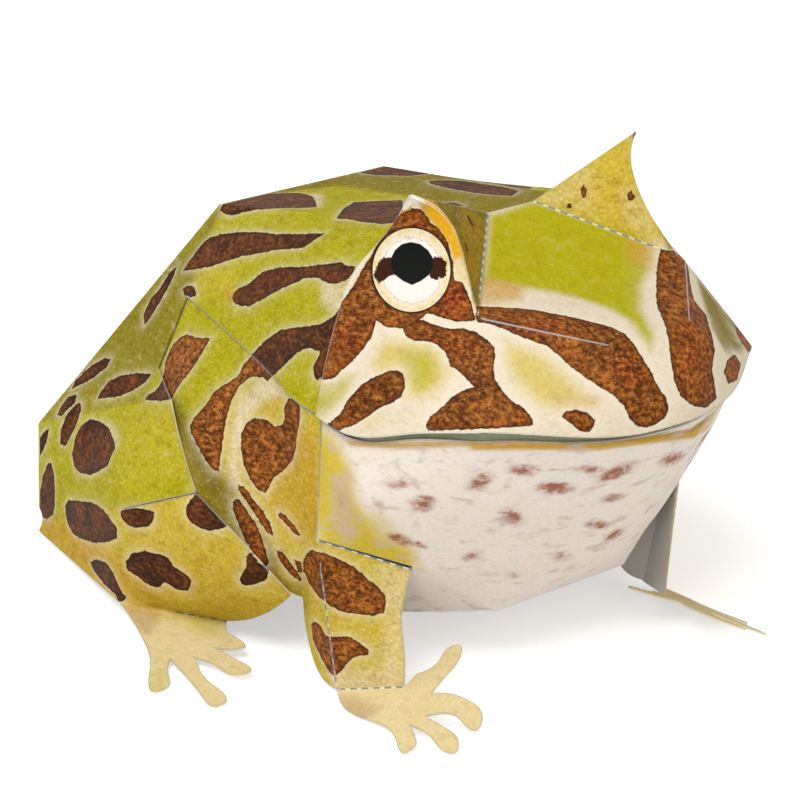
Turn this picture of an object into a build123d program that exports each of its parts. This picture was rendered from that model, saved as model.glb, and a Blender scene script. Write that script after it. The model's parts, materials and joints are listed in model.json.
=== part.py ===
from build123d import *
from numpy.linalg import lstsq
import os

# A sitting horned frog cut, folded and glued from printed card.
# Millimetres, +Z up, the frog looks along -Y and the origin is on the table under its middle.
# Points are drawn for the frog's right side, where X is below zero, and mirrored to the left.
# Every point lies on the printed face of the card.

# Overall size; the points below are drawn for a frog of the size drawn
length = 113.6
width = 108.2
height = 78.0
drawn = (108.2, 113.6, 78.0)

# The left feet stand nearer the middle, so the body's centre line is this far from the origin
off_centre = 4.0

# Card and seams
card = 0.3
glue_gap = 0.2
slit_width = 0.35
mouth_gap = 1.2

# Heights that the drawn points hang on
horn_height = 78.0
forehead_height = 70.0
brow_height = 62.0
lip_height = 48.0
corner_height = 45.0
rump_height = 60.0
leg_height = 25.5
knee_height = 27.0
belly_height = 6.7
toe_height = 0.7
hind_toe_height = 0.45

# Widths and lengths that they hang on
rump_width = 34.0
body_end = 53.0

# Head: forehead, brow, eye cheek and lip
brow_back = (-4.5, -18.0, forehead_height)
brow_front = (-20.5, -35.0, brow_height)
horn_tip = (-22.5, -21.5, horn_height)
brow_rim = [(-18.1, -25.4, horn_height - 4.2), (-18.3, -30.0, brow_height + 5.5)]
slit_start = (-19.9, -35.7, brow_height - 0.1)
slit_middle = (-14.0, -42.2, brow_height - 1.3)
slit_end = (-7.6, -49.5, brow_height - 3.0)
snout_side = (-7.3, -54.0, lip_height + 5.8)
cheek_top = [(-24.0, -16.8, horn_height - 8.6), (-27.0, -14.9, horn_height - 12.8)]
cheek_back = (-30.0, -14.9, 59.8)
cheek_low = (-35.0, -17.0, corner_height + 5.3)
mouth_corner = (-36.5, -17.5, corner_height)
lip_rear = [(-35.5, -23.2, lip_height - 4.7), (-32.5, -34.7, lip_height - 1.1)]
lip_side = (-27.0, -43.8, lip_height + 0.7)
lip_fore = [(-22.5, -47.2, lip_height + 0.4), (-18.0, -50.6, lip_height), (-13.0, -53.5, lip_height - 0.5)]
lip_nose = (-7.0, -55.4, lip_height - 0.9)
lip_middle = (0.0, -57.0, lip_height - 0.4)

# Back: top, side, rump, thigh and shank
back_neck = (-4.5, -17.6, forehead_height - 0.7)
back_front = (-12.0, -15.0, forehead_height - 1.2)
rump_top = (-rump_width / 2, 35.5, rump_height)
rump_side = (-rump_width / 2 - 10.0, 31.0, rump_height - 12.5)
rump_low = (-34.7, 28.4, 37.7)
hip = (-38.0, 25.9, 33.5)
tail_side = (-43.2, body_end, 22.0)
heel_back = (-42.5, body_end + 3.3, 0.5)
thigh_front = (-41.0, 15.1, 38.2)
thigh_edge = (-42.9, 9.4, knee_height + 5.6)
thigh_bulge = (-45.2, 22.6, 28.4)
knee = (-44.0, 4.0, knee_height)
knee_slit = (-49.0, 18.5, knee_height - 6.7)
seam = [(-31.0, 11.3, corner_height + 1.9), (-34.0, -2.8, corner_height + 1.0),
        (-36.0, -12.3, corner_height + 0.2)]
seam_end = (-35.8, -17.2, corner_height - 0.2)
shank_front = (-42.5, -5.6, knee_height - 5.0)
shank_tip = (-37.5, -11.7, 13.5)
shank_sole = (-38.3, -5.5, 8.0)
ankle_front = (-39.0, 4.1, 3.2)
ankle_back = (-48.5, 20.7, 2.8)

# Flank and front leg
flank_rear = (-36.6, 22.5, 32.0)
flank_fold = [(-36.5, -2.0, 19.0), (-38.0, 5.5, 26.5), (-39.3, 12.0, 32.5)]
tuck_front = (-29.5, -9.0, belly_height + 1.5)
tuck_rear = (-31.0, 21.0, belly_height + 1.5)
leg_outer = (-37.5, -18.5, leg_height)
leg_inner = (-27.5, -29.0, leg_height - 4.0)
leg_rear = (-34.0, -10.0, 11.3)
leg_back_rim = [(-35.1, -12.7, 5.4), (-36.1, -17.4, toe_height + 0.7)]
leg_front_rim = [(-28.2, -28.3, leg_height - 7.4), (-29.2, -28.6, 13.8), (-30.4, -30.8, 8.6)]
foot_outer = (-36.2, -21.5, toe_height + 0.3)
foot_inner = (-31.2, -31.7, toe_height + 3.4)
left_foot_shift = (10.0, -1.6, 0.0)
left_ankle_shift = (8.0, 7.0, 0.0)

# Chin and belly
chin_edge = (-36.4, -18.6, (corner_height + leg_height) / 2)
chin_waist = [chin_edge, (-33.4, -29.2, lip_height - 12.6), (-26.6, -37.8, lip_height - 12.2)]
chin_front = [chin_waist[-1], (-17.2, -44.4, lip_height - 11.8), (-7.0, -49.2, lip_height - 11.4)]
chin_middle = [chin_front[-1], (0.0, -50.4, lip_height - 11.3)]
chin_keel = (-7.4, -24.6, belly_height)
belly_front = (-27.5, -17.0, belly_height + 0.5)
belly_rear = (-34.0, body_end + 1.9, belly_height - 2.1)

# Feet, drawn in the plane of the sole: along the ankle fold from its outer end, then forwards
front_toes = [
    [(3.0, 4.0), (9.4, 6.9), (14.1, 10.4), (16.6, 13.0), (17.8, 11.6), (16.9, 9.4), (15.5, 7.6)],
    [(20.2, 10.3), (23.0, 12.8), (25.0, 13.1), (24.8, 10.9), (21.6, 8.2), (17.5, 5.9)],
    [(22.8, 6.1), (25.2, 8.2), (27.0, 8.9), (27.3, 6.5), (24.6, 3.4), (16.9, 1.3)],
    [(18.2, -2.0), (19.3, -5.4), (18.2, -8.5), (16.6, -7.8), (15.8, -4.8), (13.0, -2.7)]]
hind_toes = [
    [(7.4, 7.1), (12.6, 14.0), (14.6, 18.6), (16.5, 20.6), (18.0, 18.9), (16.2, 15.0), (15.1, 12.0)],
    [(19.6, 16.0), (24.3, 20.4), (28.0, 21.9), (28.6, 19.9), (23.4, 15.4), (18.5, 10.5)],
    [(22.4, 11.4), (27.2, 12.9), (28.8, 11.4), (25.4, 9.2), (19.4, 6.9)],
    [(22.8, 7.1), (25.2, 5.6), (23.2, 4.0), (20.6, 2.8)]]


def moved(point, shift, share=1.0):
    """A drawn point moved by a share of the shift."""
    return tuple(place + move * share for place, move in zip(point, shift))


def tuck(point):
    """The point where a sheet lies glued under the card's edge at this point."""
    return moved(point, (card + glue_gap, 0.0, -card - glue_gap))


def lower_lip(point, droop):
    """The lower lip's point: inside the upper lip's and below it by the mouth's gap and a droop."""
    inward = Vector(-point[0], -16.0 - point[1], 0).normalized() * (mouth_gap + 0.1)
    return moved(point, (inward.X, inward.Y, -mouth_gap - droop))


def flip(point):
    """The mirror point on the frog's other side."""
    return (-point[0], point[1], point[2])


def flip_all(panels):
    """Panels mirrored to the frog's other side."""
    return [([[flip(point) for point in side] for side in sides], flip(inside)) for sides, inside in panels]


def sized(point):
    """A drawn point at the frog's own size."""
    x, y, z = (place * size / old for place, size, old in zip(point, (width, length, height), drawn))
    return (x + off_centre, y, z)


def panel(*sides, inside=(0.0, 0.0, 25.0)):
    """A panel of the sheet: its sides in order and a point behind it."""
    return ([list(side) for side in sides], inside)


def flat(*corners, inside=(0.0, 0.0, 25.0)):
    """A panel with straight sides between the corners."""
    return panel(*zip(corners, corners[1:] + corners[:1]), inside=inside)


def edge(side):
    """A straight edge between two points, or a smooth one through more."""
    with BuildLine(mode=Mode.PRIVATE) as line:
        if len(side) == 2:
            Line(*side)
        else:
            Spline(*side)
    return line.edge()


def face(sides):
    """The skin inside the sides: flat where it can be, ruled between two curved sides, else smoothly bent."""
    rim = [edge(side) for side in sides]
    first, second, *rest = [Vector(*point) for side in sides for point in side]
    far = max(rest, key=lambda point: (point - first).cross(second - first).length)
    normal = (second - first).cross(far - first).normalized()
    if all(abs((point - first).dot(normal)) < 1e-6 for point in rest):
        return Face(Wire(rim))
    if len(sides) == 4 and len(sides[1]) == len(sides[3]) == 2:
        return Face.make_surface_from_curves(rim[0], edge(sides[2][::-1]))
    return Face.make_surface(rim)


def sheet(panels):
    """A folded sheet of card: printed skins, the same skins one card deeper and its cut edges.

    Each point moves in by the vector whose part along every meeting panel's normal is the card.
    """
    panels = [([[sized(point) for point in side] for side in sides], sized(inside))
              for sides, inside in panels]
    skins = [face(sides) for sides, _ in panels]
    normals = {}
    for (sides, inside), skin in zip(panels, skins):
        out = skin.normal_at(skin.center()).dot(skin.center() - Vector(*inside)) > 0
        for point in {point for side in sides for point in side}:
            normal = skin.normal_at(Vector(*point))
            normals.setdefault(point, []).append(tuple(normal if out else -normal))
    deeper = {}
    for point, outward in normals.items():
        step = lstsq(outward, [card] * len(outward), rcond=0.15)[0]
        deeper[point] = tuple(float(place - move) for place, move in zip(point, step))
    backs = [face([[deeper[point] for point in side] for side in sides]) for sides, _ in panels]
    rims = {}
    for sides, _ in panels:
        for side in sides:
            rims.setdefault(frozenset(side), []).append(side)
    cuts = [Face.make_surface_from_curves(edge(side[0]), edge([deeper[point] for point in side[0]]))
            for side in rims.values() if len(side) == 1]
    return Solid(Shell(skins + backs + cuts))


def foot(fold_outer, fold_inner, low_point, toes):
    """A flat foot beyond its ankle fold; the low point fixes the slope of the sole."""
    along = (Vector(*fold_inner) - Vector(*fold_outer)).normalized()
    down = Vector(*low_point) - Vector(*fold_outer)
    ahead = (down - along * down.dot(along)).normalized()
    sides = []
    last = fold_outer
    for toe in toes:
        rim = [tuple(Vector(*fold_outer) + along * u + ahead * v) for u, v in toe]
        sides.append([last, *rim])
        last = rim[-1]
    below = tuple(Vector(*low_point) - Vector(0, 0, 40))
    return panel([fold_inner, fold_outer], *sides, [last, fold_inner], inside=below)


def slit(start, end, beside):
    """The card that a narrow knife cut takes out from start to end; beside is another point on the card."""
    first, last, third = [Vector(*sized(point)) for point in (start, end, beside)]
    line = last - first
    plane = Plane(origin=(first + last) / 2, x_dir=line, z_dir=line.cross(third - first))
    with BuildSketch(plane, mode=Mode.PRIVATE) as cut:
        SlotOverall(line.length, slit_width)
    return extrude(cut.sketch, amount=3 * card, both=True, mode=Mode.PRIVATE)


os.makedirs("parts", exist_ok=True)

# Head sheet: forehead, two brows, two eye cheeks and the snout down to the upper lip
nose_side = [brow_front, slit_middle, slit_end, snout_side, lip_nose]
brow_top = [brow_front, *reversed(brow_rim), horn_tip]
head_right = [
    panel([horn_tip, *cheek_top, cheek_back], [cheek_back, brow_front], brow_top),
    panel([cheek_back, cheek_low, mouth_corner], [mouth_corner, *lip_rear, lip_side], [lip_side, brow_front],
          [brow_front, cheek_back]),
    panel([lip_side, *lip_fore, lip_nose], reversed(nose_side), [brow_front, lip_side]),
    panel([brow_back, horn_tip], reversed(brow_top), [brow_front, brow_back], inside=(-22.0, -24.0, 55.0))]
head_middle = [
    flat(brow_back, brow_front, flip(brow_front), flip(brow_back)),
    panel([flip(brow_front), brow_front], nose_side, [lip_nose, lip_middle, flip(lip_nose)],
          [flip(point) for point in reversed(nose_side)])]
with BuildPart() as head_sheet:
    add(sheet(head_right + flip_all(head_right) + head_middle))
    add([slit(slit_start, slit_end, snout_side), slit(flip(slit_start), flip(slit_end), flip(snout_side))],
        mode=Mode.SUBTRACT)

# Back sheet: back, rump, thighs, shanks and hind feet; its front arch lies under the cheeks
under_cheek = [(1.1, -1.2, -0.5), (1.4, -1.9, -1.1), (2.0, -2.1, -1.8), (3.7, -0.5, -1.9)]
cheek_rim = [cheek_low, cheek_back, *reversed(cheek_top)]
arch = [moved(point, shift) for point, shift in zip(cheek_rim, under_cheek)]


def haunch(shift):
    """Panels of a right side and leg of the back sheet; shift moves the ankle and foot."""
    back_ankle = moved(ankle_back, shift)
    front_ankle = moved(ankle_front, shift)
    return [
        panel([back_front, rump_top], [rump_top, rump_side], [rump_side, *seam, seam_end],
              [seam_end, *arch, back_front]),
        flat(rump_top, rump_side, rump_low, hip, tail_side),
        flat(rump_low, thigh_front, hip),
        panel([hip, thigh_front], [thigh_front, thigh_edge, knee], [knee, knee_slit],
              [knee_slit, thigh_bulge, hip]),
        panel([hip, thigh_bulge, knee_slit], [knee_slit, heel_back], [heel_back, tail_side],
              [tail_side, hip]),
        panel([knee_slit, knee], [knee, shank_front, shank_tip],
              [shank_tip, moved(shank_sole, shift, 0.4), front_ankle], [front_ankle, back_ankle],
              [back_ankle, knee_slit]),
        flat(heel_back, knee_slit, back_ankle),
        foot(back_ankle, front_ankle, moved((-52.9, -14.3, hind_toe_height), shift), hind_toes)]


back_middle = [
    flat(rump_top, flip(rump_top), flip(back_front), flip(back_neck), back_neck, back_front),
    flat(rump_top, tail_side, flip(tail_side), flip(rump_top)),
    flat(tail_side, heel_back, flip(heel_back), flip(tail_side))]
with BuildPart() as back_sheet:
    add(sheet(haunch((0.0, 0.0, 0.0)) + flip_all(haunch(left_ankle_shift)) + back_middle))
    add([slit(knee, knee_slit, thigh_front), slit(flip(knee), flip(knee_slit), flip(thigh_front))],
        mode=Mode.SUBTRACT)

# Chin sheet: chin under the lower lip, and the belly behind its keel
lip_row = [mouth_corner, *lip_rear, lip_side, *lip_fore, lip_nose, lip_middle]
droops = [0.0, -0.1, 0.2, 0.9, 0.5, 0.3, 0.0, -0.2, 0.0]
chin_corner, *chin_lip = [lower_lip(point, droop) for point, droop in zip(lip_row, droops)]
chin_outer = moved(leg_outer, (0.2, -0.7, card + glue_gap + 0.2))
chin_inner = moved(leg_inner, (0.3, -0.8, card + glue_gap + 0.6))
throat = [chin_inner, (-17.5, -34.2, 19.4), (-7.2, -37.6, 18.2)]
throat_middle = [throat[-1], (0.0, -38.4, 18.0)]
chin_right = [
    panel([chin_corner, *chin_lip[:3]], [chin_lip[2], chin_waist[-1]], reversed(chin_waist),
          [chin_edge, chin_corner]),
    panel(chin_lip[2:7], [chin_lip[6], chin_front[-1]], reversed(chin_front), [chin_front[0], chin_lip[2]]),
    panel(chin_waist, [chin_waist[-1], chin_inner], [chin_inner, chin_outer], [chin_outer, chin_edge]),
    panel(chin_front, [chin_front[-1], throat[-1]], reversed(throat), [chin_inner, chin_front[0]]),
    panel(throat, [throat[-1], chin_keel], [chin_keel, chin_inner]),
    flat(chin_inner, chin_keel, belly_front)]
rows = [[*row, flip(row[0])] for row in ([chin_lip[6], chin_lip[7]], chin_middle, throat_middle)]
chin_centre = [
    panel(above, [above[-1], below[-1]], reversed(below), [below[0], above[0]])
    for above, below in zip(rows, rows[1:] + [[chin_keel, flip(chin_keel)]])]
belly = flat(chin_keel, flip(chin_keel), flip(belly_front), flip(belly_rear), belly_rear, belly_front,
             inside=(0.0, 10.0, 30.0))
with BuildPart() as chin_sheet:
    add(sheet(chin_right + flip_all(chin_right) + chin_centre + [belly]))


def flank(shift):
    """Panels of a right flank with its front leg; shift moves the foot."""
    outer = moved(foot_outer, shift)
    inner = moved(foot_inner, shift)
    toe = moved((-39.3, -42.4, toe_height), shift)
    back_rim = [moved(point, shift, share) for point, share in zip(leg_back_rim, (0.4, 0.8))]
    front_rim = [moved(point, shift, share) for point, share in zip(leg_front_rim, (0.2, 0.45, 0.75))]
    core = (-26.0, -12.0, 14.0)
    fold = [leg_rear, *flank_fold, flank_rear]
    flank_top = [tuck(point) for point in (rump_side, *seam, seam_end)]
    flank_low = tuck(rump_low)
    return [
        panel(flank_top, [flank_top[-1], leg_outer], [leg_outer, leg_rear], fold, [flank_rear, flank_low],
              [flank_low, flank_top[0]]),
        panel(reversed(fold), [leg_rear, tuck_front], [tuck_front, tuck_rear], [tuck_rear, flank_rear]),
        panel([leg_outer, leg_rear], [leg_rear, *back_rim, outer], [outer, leg_outer], inside=core),
        panel([leg_outer, outer], [outer, inner], [inner, *reversed(front_rim), leg_inner],
              [leg_inner, leg_outer], inside=core),
        foot(outer, inner, toe, front_toes)]


# Flanks with the front legs; the left foot stands a little nearer the middle than the right one
with BuildPart() as flank_right:
    add(sheet(flank((0.0, 0.0, 0.0))))
with BuildPart() as flank_left:
    add(sheet(flip_all(flank(left_foot_shift))))

for name, piece in (("head_sheet", head_sheet), ("back_sheet", back_sheet), ("chin_sheet", chin_sheet),
                    ("flank_right", flank_right), ("flank_left", flank_left)):
    piece.part.label = name
    export_step(piece.part, f"parts/{name}.step")
    print(name, piece.part.is_valid, len(piece.part.solids()), round(piece.part.volume, 1))
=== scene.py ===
import json

import bpy
import numpy as np
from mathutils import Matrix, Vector
from mathutils.geometry import delaunay_2d_cdt

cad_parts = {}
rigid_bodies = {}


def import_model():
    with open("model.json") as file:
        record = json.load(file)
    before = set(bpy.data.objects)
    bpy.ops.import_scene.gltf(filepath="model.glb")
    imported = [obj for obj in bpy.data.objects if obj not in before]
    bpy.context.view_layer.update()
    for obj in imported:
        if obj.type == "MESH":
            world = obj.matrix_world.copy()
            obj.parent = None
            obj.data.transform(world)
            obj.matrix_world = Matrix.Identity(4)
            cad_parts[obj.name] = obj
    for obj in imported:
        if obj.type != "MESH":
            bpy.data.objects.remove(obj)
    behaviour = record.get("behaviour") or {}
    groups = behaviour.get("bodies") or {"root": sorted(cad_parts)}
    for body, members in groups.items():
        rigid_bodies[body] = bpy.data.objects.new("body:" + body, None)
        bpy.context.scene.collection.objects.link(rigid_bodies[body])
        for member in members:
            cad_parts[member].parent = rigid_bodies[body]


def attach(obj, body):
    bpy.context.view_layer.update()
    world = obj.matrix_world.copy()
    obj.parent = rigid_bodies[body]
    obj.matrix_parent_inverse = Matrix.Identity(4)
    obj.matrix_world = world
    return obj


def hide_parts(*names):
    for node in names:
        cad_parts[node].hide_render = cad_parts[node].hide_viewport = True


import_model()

bl_info = {
    "name": "Folded card frog",
    "version": (1, 0, 0),
    "blender": (4, 5, 0),
    "location": "View3D > Sidebar > Frog",
    "description": "The printed card sheets of a folded horned frog",
    "category": "Object",
}


def linear(code):
    """A hex colour as linear red, green and blue: each sRGB part raised to 2.4 after its offset."""
    parts = np.array([int(code[i:i + 2], 16) for i in (0, 2, 4)]) / 255
    return tuple(np.where(parts <= 0.04045, parts / 12.92, ((parts + 0.055) / 1.055) ** 2.4).tolist())


def ink(label, code):
    """A colour property of the print."""
    return bpy.props.FloatVectorProperty(name=label, description=f"Printed colour: {label.lower()}", size=3,
                                         subtype="COLOR", min=0.0, max=1.0, default=linear(code))


def span(label, text, value):
    """A size property in millimetres."""
    return bpy.props.FloatProperty(name=label, description=text + ", in millimetres", default=value,
                                   min=0.01, soft_max=20.0)


class FrogSizes(bpy.types.PropertyGroup):
    """Sizes of the card and its print."""
    card: span("Card", "Thickness of the card", 0.3)
    head_grid: span("Head grid", "Spacing of the head's mesh", 0.42)
    back_grid: span("Back grid", "Spacing of the back's mesh", 0.84)
    chin_grid: span("Chin grid", "Spacing of the chin's mesh", 0.6)
    flank_grid: span("Flank grid", "Spacing of the flanks' mesh", 0.5)
    slit: span("Slit", "Width of a knife slit", 0.16)
    line: span("Line", "Width of the printed cut and fold lines", 0.13)
    dash: span("Dash", "Length of a dash and its gap", 2.0)


class FrogColours(bpy.types.PropertyGroup):
    """Colours of the print."""
    lime: ink("Lime", "B1A912")
    leaf: ink("Leaf green", "9C9424")
    olive: ink("Olive", "80701A")
    ochre: ink("Ochre", "C2952A")
    straw: ink("Straw", "CCB43E")
    tan: ink("Tan", "DECB9B")
    cream: ink("Cream", "E0D4BE")
    chin: ink("Chin white", "E9E0D9")
    # Painted shade: the grey-green that bare card shows in the dark behind the lips, printed on the tab
    # inside the mouth
    mouth: ink("Mouth", "A3A78E")
    pink: ink("Chin pink", "C3ABA0")
    amber: ink("Amber", "DCA61E")
    rust: ink("Rust", "985236")
    red: ink("Warm red", "A03410")
    brown: ink("Spot brown", "3F1A08")
    bark: ink("Spot bark", "A85E1E")
    ember: ink("Spot speckle", "CC8A40")
    glint: ink("Spot glint", "E3C08C")
    char: ink("Spot rim", "1E0F08")
    pupil: ink("Pupil", "0A0D0B")
    cut: ink("Cut line", "6F7F92")
    card: ink("Bare card", "F1EFE9")


# Points of the card, in millimetres on the printed face, for the frog's right side

SHIFT = np.array([4.0, 0.0, 0.0])
AT_HOME = (0.0, 0.0, 0.0)

brow_back = (-4.5, -18.0, 70.0)
brow_front = (-20.5, -35.0, 62.0)
horn_tip = (-22.5, -21.5, 78.0)
brow_rim = [(-18.1, -25.4, 73.8), (-18.3, -30.0, 67.5)]
slit_end = (-7.6, -49.5, 59.0)
snout_side = (-7.3, -54.0, 53.8)
cheek_top = [(-24.0, -16.8, 69.4), (-27.0, -14.9, 65.2)]
cheek_back = (-30.0, -14.9, 59.8)
cheek_low = (-35.0, -17.0, 50.3)
mouth_corner = (-36.5, -17.5, 45.0)
lip_rear = [(-35.5, -23.2, 43.8), (-32.5, -34.7, 46.9)]
lip_side = (-27.0, -43.8, 48.7)
lip_fore = [(-22.5, -47.2, 48.4), (-18.0, -50.6, 48.0), (-13.0, -53.5, 47.5)]
lip_nose = (-7.0, -55.4, 47.1)
lip_middle = (0.0, -57.0, 47.6)

back_neck = (-4.5, -17.6, 69.3)
back_front = (-12.0, -15.0, 68.8)
rump_top = (-17.0, 35.5, 60.0)
rump_side = (-27.0, 31.0, 47.5)
rump_low = (-34.7, 28.4, 37.7)
hip = (-38.0, 25.9, 33.5)
tail_side = (-43.2, 53.0, 22.0)
heel_back = (-42.5, 56.3, 0.5)
thigh_front = (-41.0, 15.1, 38.2)
thigh_edge = (-42.9, 9.4, 32.6)
thigh_bulge = (-45.2, 22.6, 28.4)
knee = (-44.0, 4.0, 27.0)
knee_slit = (-49.0, 18.5, 20.3)
seam = [(-31.0, 11.3, 46.9), (-34.0, -2.8, 46.0), (-36.0, -12.3, 45.2)]
seam_end = (-35.8, -17.2, 44.8)
shank_front = (-42.5, -5.6, 22.0)
shank_tip = (-37.5, -11.7, 13.5)
shank_sole = (-38.3, -5.5, 8.0)
ankle_front = (-39.0, 4.1, 3.2)
ankle_back = (-48.5, 20.7, 2.8)
calf = [(-41.1, -4.0, 11.0), (-43.7, 4.5, 8.2), (-45.9, 12.0, 6.0)]
arch = [(-33.9, -18.2, 49.8), (-28.6, -16.8, 58.7), (-25.0, -17.0, 63.4), (-20.3, -17.3, 67.5)]

flank_rear = (-38.4, 20.5, 33.2)
flank_fold = [(-36.7, -10.5, 13.2), (-39.6, -7.7, 17.3), (-41.7, -4.4, 21.5), (-43.3, 5.1, 26.6),
              (-42.3, 10.5, 32.1)]
flank_bulge = [(-36.6, -6.8, 29.8), (-39.2, 4.6, 34.0), (-40.3, 14.8, 37.5), (-37.3, 21.6, 37.3)]
tuck_front = (-28.0, -9.0, 10.4)
tuck_rear = (-30.4, 21.0, 8.6)
leg_outer = (-37.5, -18.5, 25.5)
leg_inner = (-27.5, -29.0, 21.5)
leg_rear = (-34.0, -10.0, 11.3)
leg_back_rim = [(-35.1, -12.7, 5.4), (-36.1, -17.4, 1.4)]
leg_front_rim = [(-28.2, -28.3, 18.1), (-29.2, -28.6, 13.8), (-30.4, -30.8, 8.6)]
foot_outer = (-36.2, -21.5, 1.0)
foot_inner = (-31.2, -31.7, 4.1)
toe_low = (-39.3, -42.4, 0.7)
hind_toe_low = (-52.9, -14.3, 0.45)
left_foot_shift = (10.0, -1.6, 0.0)
left_ankle_shift = (8.0, 7.0, 0.0)

chin_edge = (-36.38, -18.0, 35.25)
chin_waist = [chin_edge, (-33.4, -29.2, 35.4), (-26.6, -37.8, 35.8)]
chin_front = [chin_waist[-1], (-17.2, -44.4, 36.2), (-7.0, -49.2, 36.6)]
chin_middle = [chin_front[-1], (0.0, -50.4, 36.7)]
chin_outer = (-37.45, -18.65, 25.65)
chin_inner = (-27.35, -28.95, 22.0)
throat = [chin_inner, (-17.5, -34.2, 19.4), (-7.2, -37.6, 18.2)]
throat_middle = [throat[-1], (0.0, -38.4, 18.0)]
chin_keel = (-13.2, -31.6, 11.1)
belly_front = (-27.5, -17.0, 9.7)
belly_rear = (-34.0, 54.9, 4.6)
droops = [0.0, -0.1, 0.2, 0.9, 0.5, 0.3, 0.0, -0.2, 0.0]

# Toes in the plane of the sole: along the ankle fold from its outer end, then forwards
front_toes = [
    [(3.0, 4.0), (9.4, 6.9), (14.1, 10.4), (16.6, 13.0), (17.8, 11.6), (16.9, 9.4), (15.5, 7.6)],
    [(20.2, 10.3), (23.0, 12.8), (25.0, 13.1), (24.8, 10.9), (21.6, 8.2), (17.5, 5.9)],
    [(22.8, 6.1), (25.2, 8.2), (27.0, 8.9), (27.3, 6.5), (24.6, 3.4), (16.9, 1.3)],
    [(18.2, -2.0), (19.3, -5.4), (18.2, -8.5), (16.6, -7.8), (15.8, -4.8), (13.0, -2.7)]]
hind_toes = [
    [(7.4, 7.1), (12.6, 14.0), (14.6, 18.6), (16.5, 20.6), (18.0, 18.9), (16.2, 15.0), (15.1, 12.0)],
    [(19.8, 15.7), (24.4, 19.7), (27.4, 21.3), (28.3, 20.1), (23.8, 15.8), (18.5, 10.5)],
    [(22.4, 11.4), (27.2, 12.9), (28.8, 11.4), (25.4, 9.2), (19.4, 6.9)],
    [(22.8, 7.1), (25.2, 5.6), (23.2, 4.0), (20.6, 2.8)]]

# The print's outlines as they show from the camera, in picture points of an 800 square.
# A row holds the places across and down of one point after another.

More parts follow.
